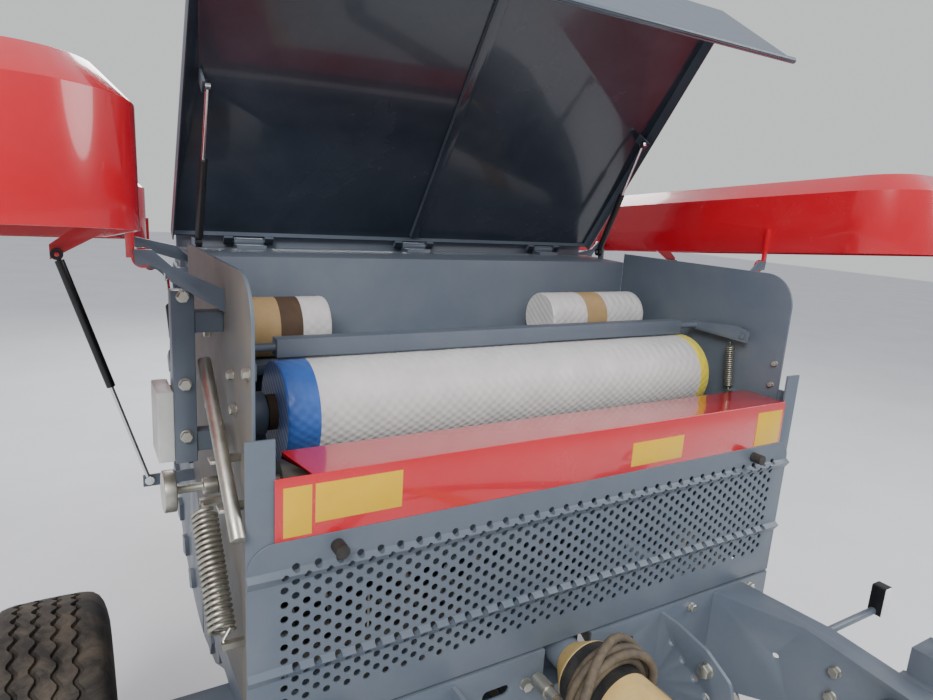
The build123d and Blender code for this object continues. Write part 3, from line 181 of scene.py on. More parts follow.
def finish(name, tone, other, size_mm, rough, metallic=0.0, rough_drift=0.08, grain_mm=1.5,
           grain_depth_mm=0.03, dust=None, coat=0.0, sheen=0.0):
    """A material whose colour goes from tone to other over patches of size_mm.

    Dust, where there is some, is its colour, how much of the surface it covers and its patches in mm.
    """
    made = bpy.data.materials.new(name)
    made.use_nodes = True
    tree = made.node_tree
    tree.nodes.clear()
    spot = add(tree, "ShaderNodeTexCoord").outputs["Object"]
    patches = add(tree, "ShaderNodeTexNoise", {"Vector": spot, "Scale": 1000 / size_mm, "Detail": 5.0,
                                               "Roughness": 0.62})
    soft = add(tree, "ShaderNodeMapRange", {"Value": patches.outputs[0], 1: 0.32, 2: 0.68})
    colour = add(tree, "ShaderNodeMix", {0: soft.outputs[0], 6: linear(tone), 7: linear(other)},
                 data_type="RGBA").outputs[2]
    roughness = add(tree, "ShaderNodeMapRange", {"Value": patches.outputs[0], 1: 0.3, 2: 0.7,
                                                 3: rough - rough_drift, 4: rough + rough_drift}).outputs[0]
    if dust:
        dust_colour, cover, dust_mm = dust
        film = add(tree, "ShaderNodeTexNoise", {"Vector": spot, "Scale": 1000 / dust_mm, "Detail": 8.0,
                                                "Roughness": 0.7, "Distortion": 0.6})
        share = add(tree, "ShaderNodeMapRange", {"Value": film.outputs[0], 1: 0.42, 2: 0.74, 3: 0.0,
                                                 4: cover})
        colour = add(tree, "ShaderNodeMix", {0: share.outputs[0], 6: colour, 7: linear(dust_colour)},
                     data_type="RGBA").outputs[2]
        roughness = add(tree, "ShaderNodeMix", {0: share.outputs[0], 2: roughness, 3: 0.85}).outputs[0]
    grain = add(tree, "ShaderNodeTexNoise", {"Vector": spot, "Scale": 1000 / grain_mm, "Detail": 3.0})
    bump = add(tree, "ShaderNodeBump", {"Height": grain.outputs[0], "Distance": grain_depth_mm / 1000,
                                        "Strength": 1.0})
    shader = add(tree, "ShaderNodeBsdfPrincipled", {
        "Base Color": colour, "Roughness": roughness, "Normal": bump.outputs[0], "Metallic": metallic,
        "Coat Weight": coat, "Coat Roughness": 0.06, "Sheen Weight": sheen})
    add(tree, "ShaderNodeOutputMaterial", {0: shader.outputs[0]})
    return made


concrete = finish("poured_concrete_floor", "#d9dadb", "#d2d3d4", 900, 0.8, grain_mm=6, grain_depth_mm=0.1)
floor.data.materials.append(concrete)
print("nodes in the floor's finish:", len(concrete.node_tree.nodes))

# %% [markdown]
# ### Paint
# The frame is steel with a graphite-blue powder coat: satin, with the fine orange peel that baked powder
# leaves. The covers are a glossy signal red, so they get a clear coat that mirrors the sky in a thin layer.
# The lid's inside faces down, away from the sky: its paint is darker there as painted shade, and smoother.
# The side plate next to the drives has the frame's paint under a coat of dry crop dust, which dulls it.

# %% Painted finishes
graphite = finish("graphite_powder_coat", "#59636f", "#616b77", 420, 0.38, grain_mm=2.5,
                  grain_depth_mm=0.02, dust=("#8d8a84", 0.16, 160))
dusty_paint = finish("dusty_graphite_paint", "#5e6063", "#6a6862", 60, 0.6, grain_mm=4,
                     grain_depth_mm=0.06, dust=("#7d7464", 0.8, 140))
# Painted shade: the frame's graphite made darker for the downward faces inside the lid.
lid_painted_shade = finish("smooth_graphite_with_painted_shade", "#252c37", "#2c3440", 500, 0.2, grain_mm=5,
                     grain_depth_mm=0.015, dust=("#6f7580", 0.10, 240), coat=0.5)
signal_red = finish("signal_red_enamel", "#c40d1f", "#cf1226", 380, 0.24, rough_drift=0.04, grain_mm=6,
                    grain_depth_mm=0.02, coat=0.9, dust=("#b98d88", 0.05, 200))
rim_paint = finish("light_grey_enamel", "#9da2a6", "#a9adb0", 200, 0.35, coat=0.3,
                   dust=("#7d7568", 0.35, 90))
print(len(bpy.data.materials), "materials")

# %% [markdown]
# ### Metals
# Galvanised plate is dull and patchy and gathers dust; zinc-plated springs and bolts are brighter and
# slightly yellow; a piston rod is hard chrome. Metals keep the shader's default IOR and take their colour
# from the reflection alone.

# %% Metal finishes
galvanised = finish("dusty_galvanised_steel", "#8b887f", "#a3a198", 45, 0.5, metallic=0.75, grain_mm=4,
                    grain_depth_mm=0.05, dust=("#7a6f60", 0.7, 130))
zinc = finish("zinc_plated_steel", "#b9b7aa", "#cbc9be", 30, 0.36, metallic=0.95, grain_mm=1.2,
              grain_depth_mm=0.02, dust=("#8b8477", 0.3, 25))
bare_steel = finish("crop_polished_steel", "#8f8c86", "#a7a49c", 60, 0.34, metallic=0.95, grain_mm=2,
                    grain_depth_mm=0.04, dust=("#6d5b45", 0.45, 60))
chrome = finish("hard_chrome", "#c9cbce", "#d6d8da", 80, 0.12, metallic=1.0, rough_drift=0.03,
                grain_depth_mm=0.005)
print(len(bpy.data.materials), "materials")

# %% [markdown]
# ### Rubber, plastic and board
# Rubber and moulded plastic scatter light in a broad soft glow, and a lamp's lens is clear and hard.
# Paper labels and the board of the roll's core are dull and fibrous.

# %% Rubber, plastic and board finishes
rubber = finish("moulded_rubber", "#1c1c1d", "#262627", 60, 0.6, grain_mm=2, grain_depth_mm=0.05,
                dust=("#6b6355", 0.3, 50))
tread_rubber = finish("tyre_rubber", "#2a2927", "#35332f", 60, 0.75, grain_mm=3, grain_depth_mm=0.15,
                      dust=("#7b705f", 0.75, 90))
hose_rubber = finish("dusty_hose_rubber", "#4a4238", "#5c5244", 40, 0.7, grain_mm=3, grain_depth_mm=0.08,
                     dust=("#83745c", 0.75, 45))
black_plastic = finish("black_satin_plastic", "#141517", "#1c1e20", 90, 0.38, grain_mm=1.5)
white_plastic = finish("white_abs_housing", "#cdcfca", "#d6d8d3", 120, 0.4, grain_mm=1.5,
                       dust=("#8d877a", 0.25, 80))
guard_plastic = finish("cream_yellow_polyethylene", "#cfae6c", "#d9bd80", 90, 0.42, grain_mm=2,
                       dust=("#8d7750", 0.35, 60))
plate_yellow = finish("yellow_vinyl_plate", "#dcae1c", "#e3b62a", 60, 0.34, grain_mm=1)
lens_white = finish("clear_lamp_lens", "#e6e9ea", "#eef0f0", 20, 0.12, coat=0.8)
kraft = finish("kraft_paper_label", "#a98a5f", "#b4966a", 30, 0.7, grain_mm=1)
board = finish("core_board", "#4a382a", "#5a4534", 30, 0.8, grain_mm=1.5)
print(len(bpy.data.materials), "materials")

# %% [markdown]
# ### Net
# The net wrap is knitted from flat polyethylene tape, so it is white with a satin sheen and a fine
# diagonal lattice. Two crossing waves, 7 mm apart, draw it as a bump, coarser than the real stitch so that
# it shows. The threads at the net's edges are coloured, blue at one end of the roll and yellow at the other.

# %% Knitted finishes
NET_BUMP_M = 0.0006


def knitted(name, tone, other):
    """A finish with the diagonal lattice of knitted net."""
    made = finish(name, tone, other, 70, 0.42, sheen=0.2)
    tree = made.node_tree
    spot = next(n for n in tree.nodes if n.type == "TEX_COORD").outputs["Object"]
    bump = next(n for n in tree.nodes if n.type == "BUMP")
    wave = {"Scale": 22.0, "Distortion": 0.6, "Detail": 1.0, "Detail Scale": 3.0}
    threads = []
    for lean in (0.9, -0.9):
        turned = add(tree, "ShaderNodeMapping", {"Vector": spot, "Rotation": (0.0, lean, lean * 0.6)})
        threads.append(add(tree, "ShaderNodeTexWave", {"Vector": turned.outputs[0], **wave}).outputs[1])
    lattice = add(tree, "ShaderNodeMath", {0: threads[0], 1: threads[1]}, operation="ADD")
    tree.links.new(lattice.outputs[0], bump.inputs["Height"])
    bump.inputs["Distance"].default_value = NET_BUMP_M
    return made


net_white = knitted("knitted_net_white", "#d9d5d1", "#c9c5c3")
net_blue = knitted("knitted_net_blue", "#2f5aa8", "#3f6cba")
net_yellow = knitted("knitted_net_yellow", "#e8d21e", "#efdc3a")
print(len(bpy.data.materials), "materials")

# %% [markdown]
# ## The hydraulic hose
# A hose isn't a bent rod: it is one smooth line with a round section. Here it leaves its fitting, winds
# three turns forward along the shield and two turns back on top of them, then crosses over and swings out
# to its coupler. Each row of the table is one turn, and twelve control points a turn hold the spline round.
# A quadratic NURBS runs a little inside its control points, so the radii below are 3% larger than the
# hose's. The bare line is measured before it gets its thickness, which gives the hose's length.

# %% Hose round the drive shaft's shield
HOSE_START = [(0.104, -0.096, 0.910), (0.094, -0.108, 0.913)]
HOSE_TURNS = [  # radius at the start and end of a turn, y at its start and end, in metres
    (0.0925, 0.0930, -0.1140, -0.1345),
    (0.0930, 0.0925, -0.1345, -0.1550),
    (0.0925, 0.0935, -0.1550, -0.1740),
    (0.1140, 0.1150, -0.1730, -0.1520),
    (0.1150, 0.1145, -0.1520, -0.1310),
]
HOSE_END = [
    (0.110, -0.1300, 0.947), (0.095, -0.1290, 0.979), (0.066, -0.1290, 1.011), (0.034, -0.1330, 1.037),
    (-0.002, -0.1420, 1.050), (-0.040, -0.1550, 1.047), (-0.076, -0.1720, 1.030), (-0.106, -0.1900, 1.006),
    (-0.130, -0.2030, 0.978), (-0.144, -0.2020, 0.953), (-0.143, -0.1830, 0.940), (-0.136, -0.1580, 0.936),
    (-0.132, -0.1280, 0.935),
]
HOSE_R = 0.01
AXIS_Z = 0.915
TURN_POINTS = 12
FIRST_POINT = 0.05  # share of a turn, counted upwards from the shield's +X side
route = [Vector(spot) for spot in HOSE_START]
for r0, r1, y0, y1 in HOSE_TURNS:
    for step in range(TURN_POINTS):
        share = step / TURN_POINTS
        turn = 2 * math.pi * (share + FIRST_POINT)
        radius = r0 + (r1 - r0) * share
        y = y0 + (y1 - y0) * share
        route.append(Vector((radius * math.cos(turn), y, AXIS_Z + radius * math.sin(turn))))
route += [Vector(spot) for spot in HOSE_END]

hose_curve = bpy.data.curves.new("hydraulic_hose", "CURVE")
hose_curve.dimensions = "3D"
line = hose_curve.splines.new("NURBS")
line.points.add(len(route) - 1)
for point, spot in zip(line.points, route):
    point.co = (*spot, 1.0)
line.order_u = 3
line.use_endpoint_u = True
line.resolution_u = 4
bare = put_in_scene("bare_line", hose_curve)
spots = [v.co for v in bpy.data.meshes.new_from_object(bare).vertices]
bpy.data.objects.remove(bare)
hose_length = sum((b - a).length for a, b in zip(spots, spots[1:]))
hose_curve.bevel_depth = HOSE_R
hose_curve.bevel_resolution = 4
hose_curve.materials.append(hose_rubber)
hose = put_in_scene("hydraulic_hose", hose_curve)
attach(hose, "machine")
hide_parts("hose_coil")
print("hose length", round(hose_length, 3), "m,", len(route), "control points")

# %% [markdown]
# ## Rounded edges for the CAD's plates
# A real plate or casting never has a knife edge: a radius of a millimetre or two catches the light and
# tells the eye that it is steel. The CAD solids are sharp, so each one is copied, its loose triangles are
# joined, flat neighbours are dissolved, and a Bevel modifier rounds what is left. Doing it on a copy keeps
# the frame itself as it was.

# %% Soften a CAD node
MERGE_M = 2e-5
FLAT_DEGREES = 0.8


def evaluated(obj):
    """The object's mesh with its modifiers worked out, as a plain mesh."""
    graph = bpy.context.evaluated_depsgraph_get()
    graph.update()
    return bpy.data.meshes.new_from_object(obj.evaluated_get(graph))


def smooth(mesh, angle=35):
    """Shades the mesh smooth, with a hard line where faces meet at more than the angle."""
    mesh.shade_smooth()
    mesh.set_sharp_from_angle(angle=math.radians(angle))


def joined_copy(node):
    """A closed copy of a CAD node's mesh, with flat neighbours made one face."""
    bm = bmesh.new()
    bm.from_mesh(frame["nodes"][node].data)
    bmesh.ops.remove_doubles(bm, verts=bm.verts, dist=MERGE_M)
    bmesh.ops.dissolve_limit(bm, angle_limit=math.radians(FLAT_DEGREES), verts=bm.verts, edges=bm.edges)
    mesh = bpy.data.meshes.new(node + "_joined")
    bm.to_mesh(mesh)
    bm.free()
    return mesh


def bevelled(mesh, width_mm, segments=2, angle=30):
    """The mesh with its sharp edges rounded."""
    work = put_in_scene("work", mesh)
    bevel = work.modifiers.new("bevel", "BEVEL")
    bevel.width = width_mm / 1000
    bevel.segments = segments
    bevel.limit_method = "ANGLE"
    bevel.angle_limit = math.radians(angle)
    bevel.use_clamp_overlap = True
    made = evaluated(work)
    bpy.data.objects.remove(work)
    smooth(made)
    return made


# %% [markdown]
# ## What every finished piece is told
# A piece rides on the body that carries it, has its finishes, and may stand for a CAD node.
# For a node its body is already known, so one short call is enough.

# %% Finished pieces
body_of_node = {n: body for body, nodes in frame["record"]["behaviour"]["bodies"].items() for n in nodes}
slot_of_node = {row["node"]: row["material_slot"] for row in frame["record"]["subparts"]}


def keep(name, mesh, materials, body, slot, *nodes):
    """Puts a finished piece in the scene with its body, finishes and the nodes that it stands for."""
    made = put_in_scene(name, mesh)
    mesh.materials.clear()
    for material in materials:
        mesh.materials.append(material)
    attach(made, body)
    if nodes:
        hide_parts(*nodes)
    return made


def keep_node(node, mesh, *materials):
    """Puts a piece that stands for one CAD node in the scene."""
    return keep(node + "_dressed", mesh, materials, body_of_node[node], slot_of_node[node], node)


PLATES = [  # node, finish, edge radius in mm
    ("axle", graphite, 3), ("chamber_sides", graphite, 1.2), ("chamber_skin", graphite, 1),
    ("cross_member", graphite, 2), ("drawbar_beams", graphite, 2), ("tongue", graphite, 1.5),
    ("jack_case", graphite, 2), ("jack_leg", zinc, 2), ("net_box_back", graphite, 0.8),
    ("hold_bar", graphite, 1), ("tailgate_sides", graphite, 1.2), ("pickup_frame", graphite, 1.5),
    ("wind_guard", graphite, 1.5), ("gearbox", graphite, 3), ("side_post", graphite, 2),
    ("control_box", white_plastic, 3), ("net_lever", zinc, 1), ("feed_rotor", bare_steel, 0.8),
]
for node, material, radius in PLATES:
    keep_node(node, bevelled(joined_copy(node), radius), material)
print("softened:", len(PLATES), "nodes")

# %% [markdown]
# ## The perforated front panel
# The guard below the knife cover is thin sheet with rows of punched holes, staggered like bricks.
# An image with alpha would look flat from the side, so the holes are really cut: Geometry Nodes place a
# short round cutter on each point of the pattern and one boolean takes them all out of the sheet.
# The pattern is worked out from a point's number: its column is the remainder and its row the quotient.

# %% Helpers for node trees


def new_tree(name, inputs):
    """A Geometry Nodes tree with named inputs; returns the tree and its input node's sockets."""
    tree = bpy.data.node_groups.new(name, "GeometryNodeTree")
    tree.interface.new_socket("Geometry", in_out="INPUT", socket_type="NodeSocketGeometry")
    tree.interface.new_socket("Geometry", in_out="OUTPUT", socket_type="NodeSocketGeometry")
    for label, kind, value in inputs:
        made = tree.interface.new_socket(label, in_out="INPUT", socket_type="NodeSocket" + kind)
        if value is not None:
            made.default_value = value
    return tree, add(tree, "NodeGroupInput").outputs


def ends_with(tree, geometry, material):
    """Realize Instances, Set Material and the output, which every tree here ends with."""
    real = add(tree, "GeometryNodeRealizeInstances", {0: geometry})
    dressed = add(tree, "GeometryNodeSetMaterial", {"Geometry": real.outputs[0], "Material": material})
    add(tree, "NodeGroupOutput", {0: dressed.outputs[0]})
    print(tree.name, "has", len(tree.nodes), "nodes")


def grown(mesh, tree, **values):
    """The mesh that a tree makes from a starting mesh, with its named inputs set."""
    work = put_in_scene("work", mesh)
    modifier = work.modifiers.new("nodes", "NODES")
    modifier.node_group = tree
    ids = {item.name: item.identifier for item in tree.interface.items_tree
           if item.item_type == "SOCKET" and item.in_out == "INPUT"}
    for label, value in values.items():
        modifier[ids[label.replace("_", " ")]] = value
    made = evaluated(work)
    work.modifiers.clear()
    bpy.data.objects.remove(work)
    return made


# %% Punched holes as a node tree
CUTTER_SIDES = 14
CUTTER_LONG = 0.06
tree, given = new_tree("punched_holes", [
    ("Per Row", "Int", 34), ("Rows", "Int", 20), ("Pitch", "Float", 0.04), ("Row Pitch", "Float", 0.014),
    ("Hole Radius", "Float", 0.00725), ("Start", "Vector", (-0.67, 0.0, 1.035)),
    ("Material", "Material", None),
])
number = add(tree, "GeometryNodeInputIndex").outputs[0]
count = add(tree, "ShaderNodeMath", {0: given["Per Row"], 1: given["Rows"]}, operation="MULTIPLY").outputs[0]
points = add(tree, "GeometryNodePoints", {"Count": count})
middle = add(tree, "ShaderNodeMath", {0: number, 1: 0.5}, operation="ADD").outputs[0]
share = add(tree, "ShaderNodeMath", {0: middle, 1: given["Per Row"]}, operation="DIVIDE").outputs[0]
row = add(tree, "ShaderNodeMath", {0: share}, operation="FLOOR").outputs[0]
before = add(tree, "ShaderNodeMath", {0: row, 1: given["Per Row"]}, operation="MULTIPLY").outputs[0]
column = add(tree, "ShaderNodeMath", {0: number, 1: before}, operation="SUBTRACT").outputs[0]
odd = add(tree, "ShaderNodeMath", {0: row, 1: 2.0}, operation="MODULO").outputs[0]
half = add(tree, "ShaderNodeMath", {0: odd, 1: 0.5}, operation="MULTIPLY").outputs[0]
shifted = add(tree, "ShaderNodeMath", {0: column, 1: half}, operation="ADD").outputs[0]
along = add(tree, "ShaderNodeMath", {0: shifted, 1: given["Pitch"]}, operation="MULTIPLY").outputs[0]
up = add(tree, "ShaderNodeMath", {0: row, 1: given["Row Pitch"]}, operation="MULTIPLY").outputs[0]
offset = add(tree, "ShaderNodeCombineXYZ", {0: along, 2: up})
spot = add(tree, "ShaderNodeVectorMath", {0: offset.outputs[0], 1: given["Start"]}, operation="ADD")
moved = add(tree, "GeometryNodeSetPosition", {"Geometry": points.outputs[0], "Position": spot.outputs[0]})
cutter = add(tree, "GeometryNodeMeshCylinder", {"Vertices": CUTTER_SIDES, "Radius": given["Hole Radius"],
                                                "Depth": CUTTER_LONG})
cutters = add(tree, "GeometryNodeInstanceOnPoints", {
    "Points": moved.outputs[0], "Instance": cutter.outputs[0], "Rotation": Euler((math.radians(90), 0, 0))})
real = add(tree, "GeometryNodeRealizeInstances", {0: cutters.outputs[0]})
cut = add(tree, "GeometryNodeMeshBoolean", {"Mesh 1": given["Geometry"]}, operation="DIFFERENCE",
          solver="EXACT")
tree.links.new(real.outputs[0], cut.inputs["Mesh 2"])
ends_with(tree, cut.outputs[0], given["Material"])

# %% Cut the front panel
FIRST_HOLE_X = -0.67
FIRST_ROW_UP = 0.075
ROW_PITCH = 0.01405
panel_low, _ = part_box("front_panel")
panel = bevelled(joined_copy("front_panel"), 0.8)
punched = grown(panel, tree, Row_Pitch=ROW_PITCH, Start=(FIRST_HOLE_X, 0.0, panel_low[2] + FIRST_ROW_UP),
                Material=graphite)
smooth(punched)
keep_node("front_panel", punched, graphite)
print("panel faces:", len(punched.polygons))

# %% [markdown]
# ## Knife cover with its blank plates
# The red box over the net knife is folded sheet with a soft edge. Four vinyl plates sit on its face,
# bare and yellow: thin tiles with rounded edges, half a millimetre proud. Each is a box, made at its
# measured place, and the four are one mesh.

# %% Knife cover
TILES = [  # left x, right x, low z, high z above the panel's foot, in mm
    (-673, -623, 400, 492), (-617, -451, 419, 492), (133, 301, 407, 465), (578, 679, 396, 489),
]
PANEL_FOOT = 0.96
TILE_PROUD, TILE_SUNK = 0.0006, 0.0004


def new_mesh(name, bm):
    """The mesh that was built, with its faces turned outwards."""
    mesh = bpy.data.meshes.new(name)
    bmesh.ops.recalc_face_normals(bm, faces=bm.faces)
    bm.to_mesh(mesh)
    bm.free()
    return mesh


def put_box(bm, low, high):
    """Adds the box between two corners."""
    size = [h - l for l, h in zip(low, high)]
    middle = [(h + l) / 2 for l, h in zip(low, high)]
    bmesh.ops.create_cube(bm, size=1.0, matrix=Matrix.Translation(middle) @ Matrix.Diagonal((*size, 1)))


keep_node("knife_cover", bevelled(joined_copy("knife_cover"), 2.2, segments=3), signal_red)
knife_low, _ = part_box("knife_cover")
face_y = knife_low[1]
bm = bmesh.new()
for x0, x1, z0, z1 in TILES:
    put_box(bm, (x0 / 1000, face_y - TILE_PROUD, PANEL_FOOT + z0 / 1000),
            (x1 / 1000, face_y + TILE_SUNK, PANEL_FOOT + z1 / 1000))
tiles = bevelled(new_mesh("tiles", bm), 0.3)
keep("blank_plates", tiles, [plate_yellow], "machine", "signal_red")
print("plates:", len(TILES))

# %% [markdown]
# ## Net rolls
# The net is wound on a board core. Its surface isn't a perfect cylinder: the wrap is slightly uneven, the
# shoulders are rounded, and the ends show where the coloured edge threads run.
# A turned profile with a low wave along its length is enough, because the lattice itself is in the finish.
# The finish of a face is chosen by its place along the roll, so each coloured band has a crisp end.

# %% Turned pieces


def put_turned(bm, profile, place, sides=48, closed=False):
    """Turns (along, radius) points about the local X axis and puts the result with the place matrix."""
    rings = []
    for along, radius in profile:
        if radius < 1e-6:
            rings.append([bm.verts.new(place @ Vector((along, 0, 0)))])
            continue
        rings.append([bm.verts.new(place @ Vector((along, radius * math.cos(t), radius * math.sin(t))))
                      for t in (2 * math.pi * i / sides for i in range(sides))])
    pairs = list(zip(rings, rings[1:])) + ([(rings[-1], rings[0])] if closed else [])
    for one, two in pairs:
        for i in range(sides):
            j = (i + 1) % sides
            quad = [one[i % len(one)], one[j % len(one)], two[j % len(two)], two[i % len(two)]]
            corners = list(dict.fromkeys(quad))
            if len(corners) > 2:
                bm.faces.new(corners)


SHOULDER_LONG, SHOULDER_DROP = 0.006, 0.0035
SKIN_SUNK, WAVE_M = 0.0006, 0.0005
WAVE_STEPS = 40


def wound(low, high, radius, core, waves):
    """A turned roll between two x values, with rounded shoulders and a slightly wavy skin."""
    shoulder = [(0.001 * i, radius - SHOULDER_DROP + 0.0007 * i) for i in range(5)]
    profile = [(low, core)] + [(low + x, r) for x, r in shoulder]
    for i in range(1, WAVE_STEPS):
        x = low + SHOULDER_LONG + (high - low - 2 * SHOULDER_LONG) * i / WAVE_STEPS
        profile.append((x, radius - SKIN_SUNK + WAVE_M * math.sin(waves * i) * math.sin(0.37 * i)))
    return profile + [(high - x, r) for x, r in reversed(shoulder)] + [(high, core)]


def face_finish(mesh, choose):
    """Gives each face the number of its finish, and counts the faces that don't have the first one."""
    for polygon in mesh.polygons:
        polygon.material_index = choose(polygon)
    return sum(1 for polygon in mesh.polygons if polygon.material_index)


# %% Net rolls
CORE_R = 0.0385
BLUE_LONG, YELLOW_LONG = 0.058, 0.022
SPARE_R = 0.075
SPARE_LEFT_LONG, SPARE_RIGHT_LONG = 0.254, 0.373
SPARE_BANDS = [(-0.60, -0.53, 1), (0.42, 0.50, 1), (-0.53, -0.48, 2)]  # from x, to x, number of the finish

low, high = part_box("net_roll")
centre = [(a + b) / 2 for a, b in zip(low, high)]
radius = (high[2] - low[2]) / 2
bm = bmesh.new()
put_turned(bm, wound(low[0], high[0], radius, CORE_R, 1.7), Matrix.Translation((0, centre[1], centre[2])),
           sides=96, closed=True)
roll = new_mesh("net_roll", bm)
smooth(roll, 40)
keep_node("net_roll", roll, net_white, net_blue, net_yellow)
blue_end, yellow_end = low[0] + BLUE_LONG, high[0] - YELLOW_LONG
face_finish(roll, lambda p: 1 if p.center.x < blue_end else 2 if p.center.x > yellow_end else 0)
keep_node("net_core", bevelled(joined_copy("net_core"), 1), board)

low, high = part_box("spare_rolls")
centre = [(a + b) / 2 for a, b in zip(low, high)]
bm = bmesh.new()
for x0, x1 in ((low[0], low[0] + SPARE_LEFT_LONG), (high[0] - SPARE_RIGHT_LONG, high[0])):
    put_turned(bm, wound(x0, x1, SPARE_R, 0.0, 2.3), Matrix.Translation((0, centre[1], centre[2])),
               sides=64, closed=True)
spares = new_mesh("spare_rolls", bm)
smooth(spares, 40)
keep_node("spare_rolls", spares, net_white, kraft, board)
face_finish(spares, lambda p: next((n for x0, x1, n in SPARE_BANDS if x0 < p.center.x < x1), 0))
print("net roll faces:", len(roll.polygons))

# %% [markdown]
# ## Lid
# The lid is one folded sheet. Its inside faces down and fills the top of the view, so it gets painted shade:
# the frame's paint made darker and smoother. Its lip and flanges are the same paint as the frame, so the two
# finishes meet at the fold. The inside's faces are found by their direction: they look down at right angles
# to the raised sheet.

# %% Lid
LID_OPEN = math.radians(54.5)
lid = bevelled(joined_copy("lid"), 1.0)
keep_node("lid", lid, graphite, lid_painted_shade)
# The faces that look down get the darker finish, which is painted shade.
inward = Vector((0, -math.sin(LID_OPEN), -math.cos(LID_OPEN)))
print("lid inside faces:", face_finish(lid, lambda p: int(p.normal.dot(inward) > 0.9)))

# %% [markdown]
# ## Side covers and tailgate skin
# The covers are moulded with wide soft bends. The CAD gives them plain chamfers, so a wider Bevel with
# more segments turns each chamfer into a curve that carries the long highlight of the photograph.

# %% Covers
COVERS = ("front_cover_left", "front_cover_right", "rear_cover_left", "rear_cover_right")
for node in COVERS:
    keep_node(node, bevelled(joined_copy(node), 9, segments=4, angle=20), signal_red)
keep_node("tailgate_skin", bevelled(joined_copy("tailgate_skin"), 0.8), signal_red)
print("covers:", len(COVERS))

# %% [markdown]
# ## Net box sides, lamps and gauge
# The machine's right side plate catches the dust of the drives beside it, so its outer face is dull, and
# the inside of the box is clean paint. The marker lamps are black housings with a clear lens in front, and
# the gauge has a metal case with a white face. Each face's place and direction tell the finishes apart.

# %% Net box sides, marker lamps and gauge
OUTSIDE_X, DIAL_X = -0.7, -0.8  # beyond these lie the right plate's outer face and the gauge's white face
sides = bevelled(joined_copy("net_box_sides"), 0.8)
keep_node("net_box_sides", sides, graphite, dusty_paint)
dusty = face_finish(sides, lambda p: int(p.normal.x < -0.7 and p.center.x < OUTSIDE_X))

lamps = bevelled(joined_copy("marker_lamps"), 4, segments=3)
keep_node("marker_lamps", lamps, black_plastic, lens_white)
lenses = face_finish(lamps, lambda p: int(p.normal.y < -0.6))

gauge = bevelled(joined_copy("pressure_gauge"), 2.5, segments=3)
keep_node("pressure_gauge", gauge, zinc, white_plastic)
dial = face_finish(gauge, lambda p: int(p.normal.x < -0.95 and p.center.x < DIAL_X))
print("dusty faces:", dusty, "lens faces:", lenses, "gauge faces:", dial)

# %% [markdown]
# ## Springs
# A tension spring is one wire: it is swept along a helix, and its ends run straight to the pins that hold
# it. A round section of eight sides is enough for a wire of a few millimetres. The strong spring stands
# outside the net box's right side plate, and the thin one stands inside, at the left.

# %% Wire and springs


def facing(spot, way):
    """A place matrix whose local X axis points the given way."""
    turn = Vector((1, 0, 0)).rotation_difference(Vector(way).normalized())
    return Matrix.Translation(spot) @ turn.to_matrix().to_4x4()


def put_tube(bm, spots, radius, sides):
    """Sweeps a round section along a list of points and closes its ends."""
    rings = []
    side = None
    for i, spot in enumerate(spots):
        ahead = (spots[min(i + 1, len(spots) - 1)] - spots[max(i - 1, 0)]).normalized()
        side = ahead.orthogonal() if side is None else side - ahead * side.dot(ahead)
        side = side.normalized()
        up = ahead.cross(side)
        angles = (2 * math.pi * j / sides for j in range(sides))
        rings.append([bm.verts.new(spot + radius * (side * math.cos(t) + up * math.sin(t))) for t in angles])
    for one, two in zip(rings, rings[1:]):
        for j in range(sides):
            k = (j + 1) % sides
            bm.faces.new([one[j], one[k], two[k], two[j]])
    bm.faces.new(rings[0])
    bm.faces.new(rings[-1])


def put_spring(bm, low, high, radius, wire, turns, per_turn=18):
    """A coil spring between two points, with a straight hook at each end."""
    axis = (high - low).normalized()
    side = axis.orthogonal()
    up = axis.cross(side)
    reach = radius * 1.4
    first, last = low + axis * reach, high - axis * reach
    spots = [low, low + axis * reach * 0.45]
    for i in range(turns * per_turn + 1):
        share = i / (turns * per_turn)
        turn = 2 * math.pi * share * turns
        spots.append(first.lerp(last, share) + radius * (side * math.cos(turn) + up * math.sin(turn)))
    spots += [high - axis * reach * 0.45, high]
    put_tube(bm, spots, wire, sides=8)


# %% Side spring and hold-down spring
SIDE_X = -0.755
side_high, side_low = Vector((SIDE_X, 0.296, 1.313)), Vector((SIDE_X, 0.088, 1.118))
bm = bmesh.new()
put_spring(bm, side_low, side_high, radius=0.0175, wire=0.0042, turns=22)
put_box(bm, (SIDE_X - 0.005, 0.290, 1.307), (-0.714, 0.302, 1.319))  # the upper square pin
put_box(bm, (SIDE_X - 0.005, 0.082, 1.112), (-0.708, 0.094, 1.124))  # the lower square pin
spring = new_mesh("side_spring", bm)
smooth(spring, 50)
keep_node("side_spring", spring, zinc)

HOLD_X = 0.693
PIN_R = 0.005
hold_low, hold_high = Vector((HOLD_X, 0.186, 1.452)), Vector((HOLD_X, 0.203, 1.592))
bm = bmesh.new()
put_spring(bm, hold_low, hold_high, radius=0.0085, wire=0.0018, turns=20, per_turn=14)
pin = [(-0.004, 0), (-0.004, PIN_R), (0.016, PIN_R), (0.016, 0)]
put_turned(bm, pin, facing((HOLD_X, 0.186, 1.450), (1, 0, 0)), sides=16)
hold_spring = new_mesh("hold_spring", bm)
smooth(hold_spring, 50)
keep("hold_spring", hold_spring, [zinc], "machine", slot_of_node["side_spring"])
print("spring faces:", len(spring.polygons), len(hold_spring.polygons))

# %% [markdown]
# ## Bolts
# The solids have no fasteners, because each is a trifle for the mechanism. To the eye they matter: a bare
# plate looks like card. One table gives each bolt's place, the way that its head faces and its size.
# The washer and the head are turned pieces too: a hexagon is a round with six sides. One bolt is made for
# each size and direction, and a small tree of Geometry Nodes puts it on every point where it belongs.

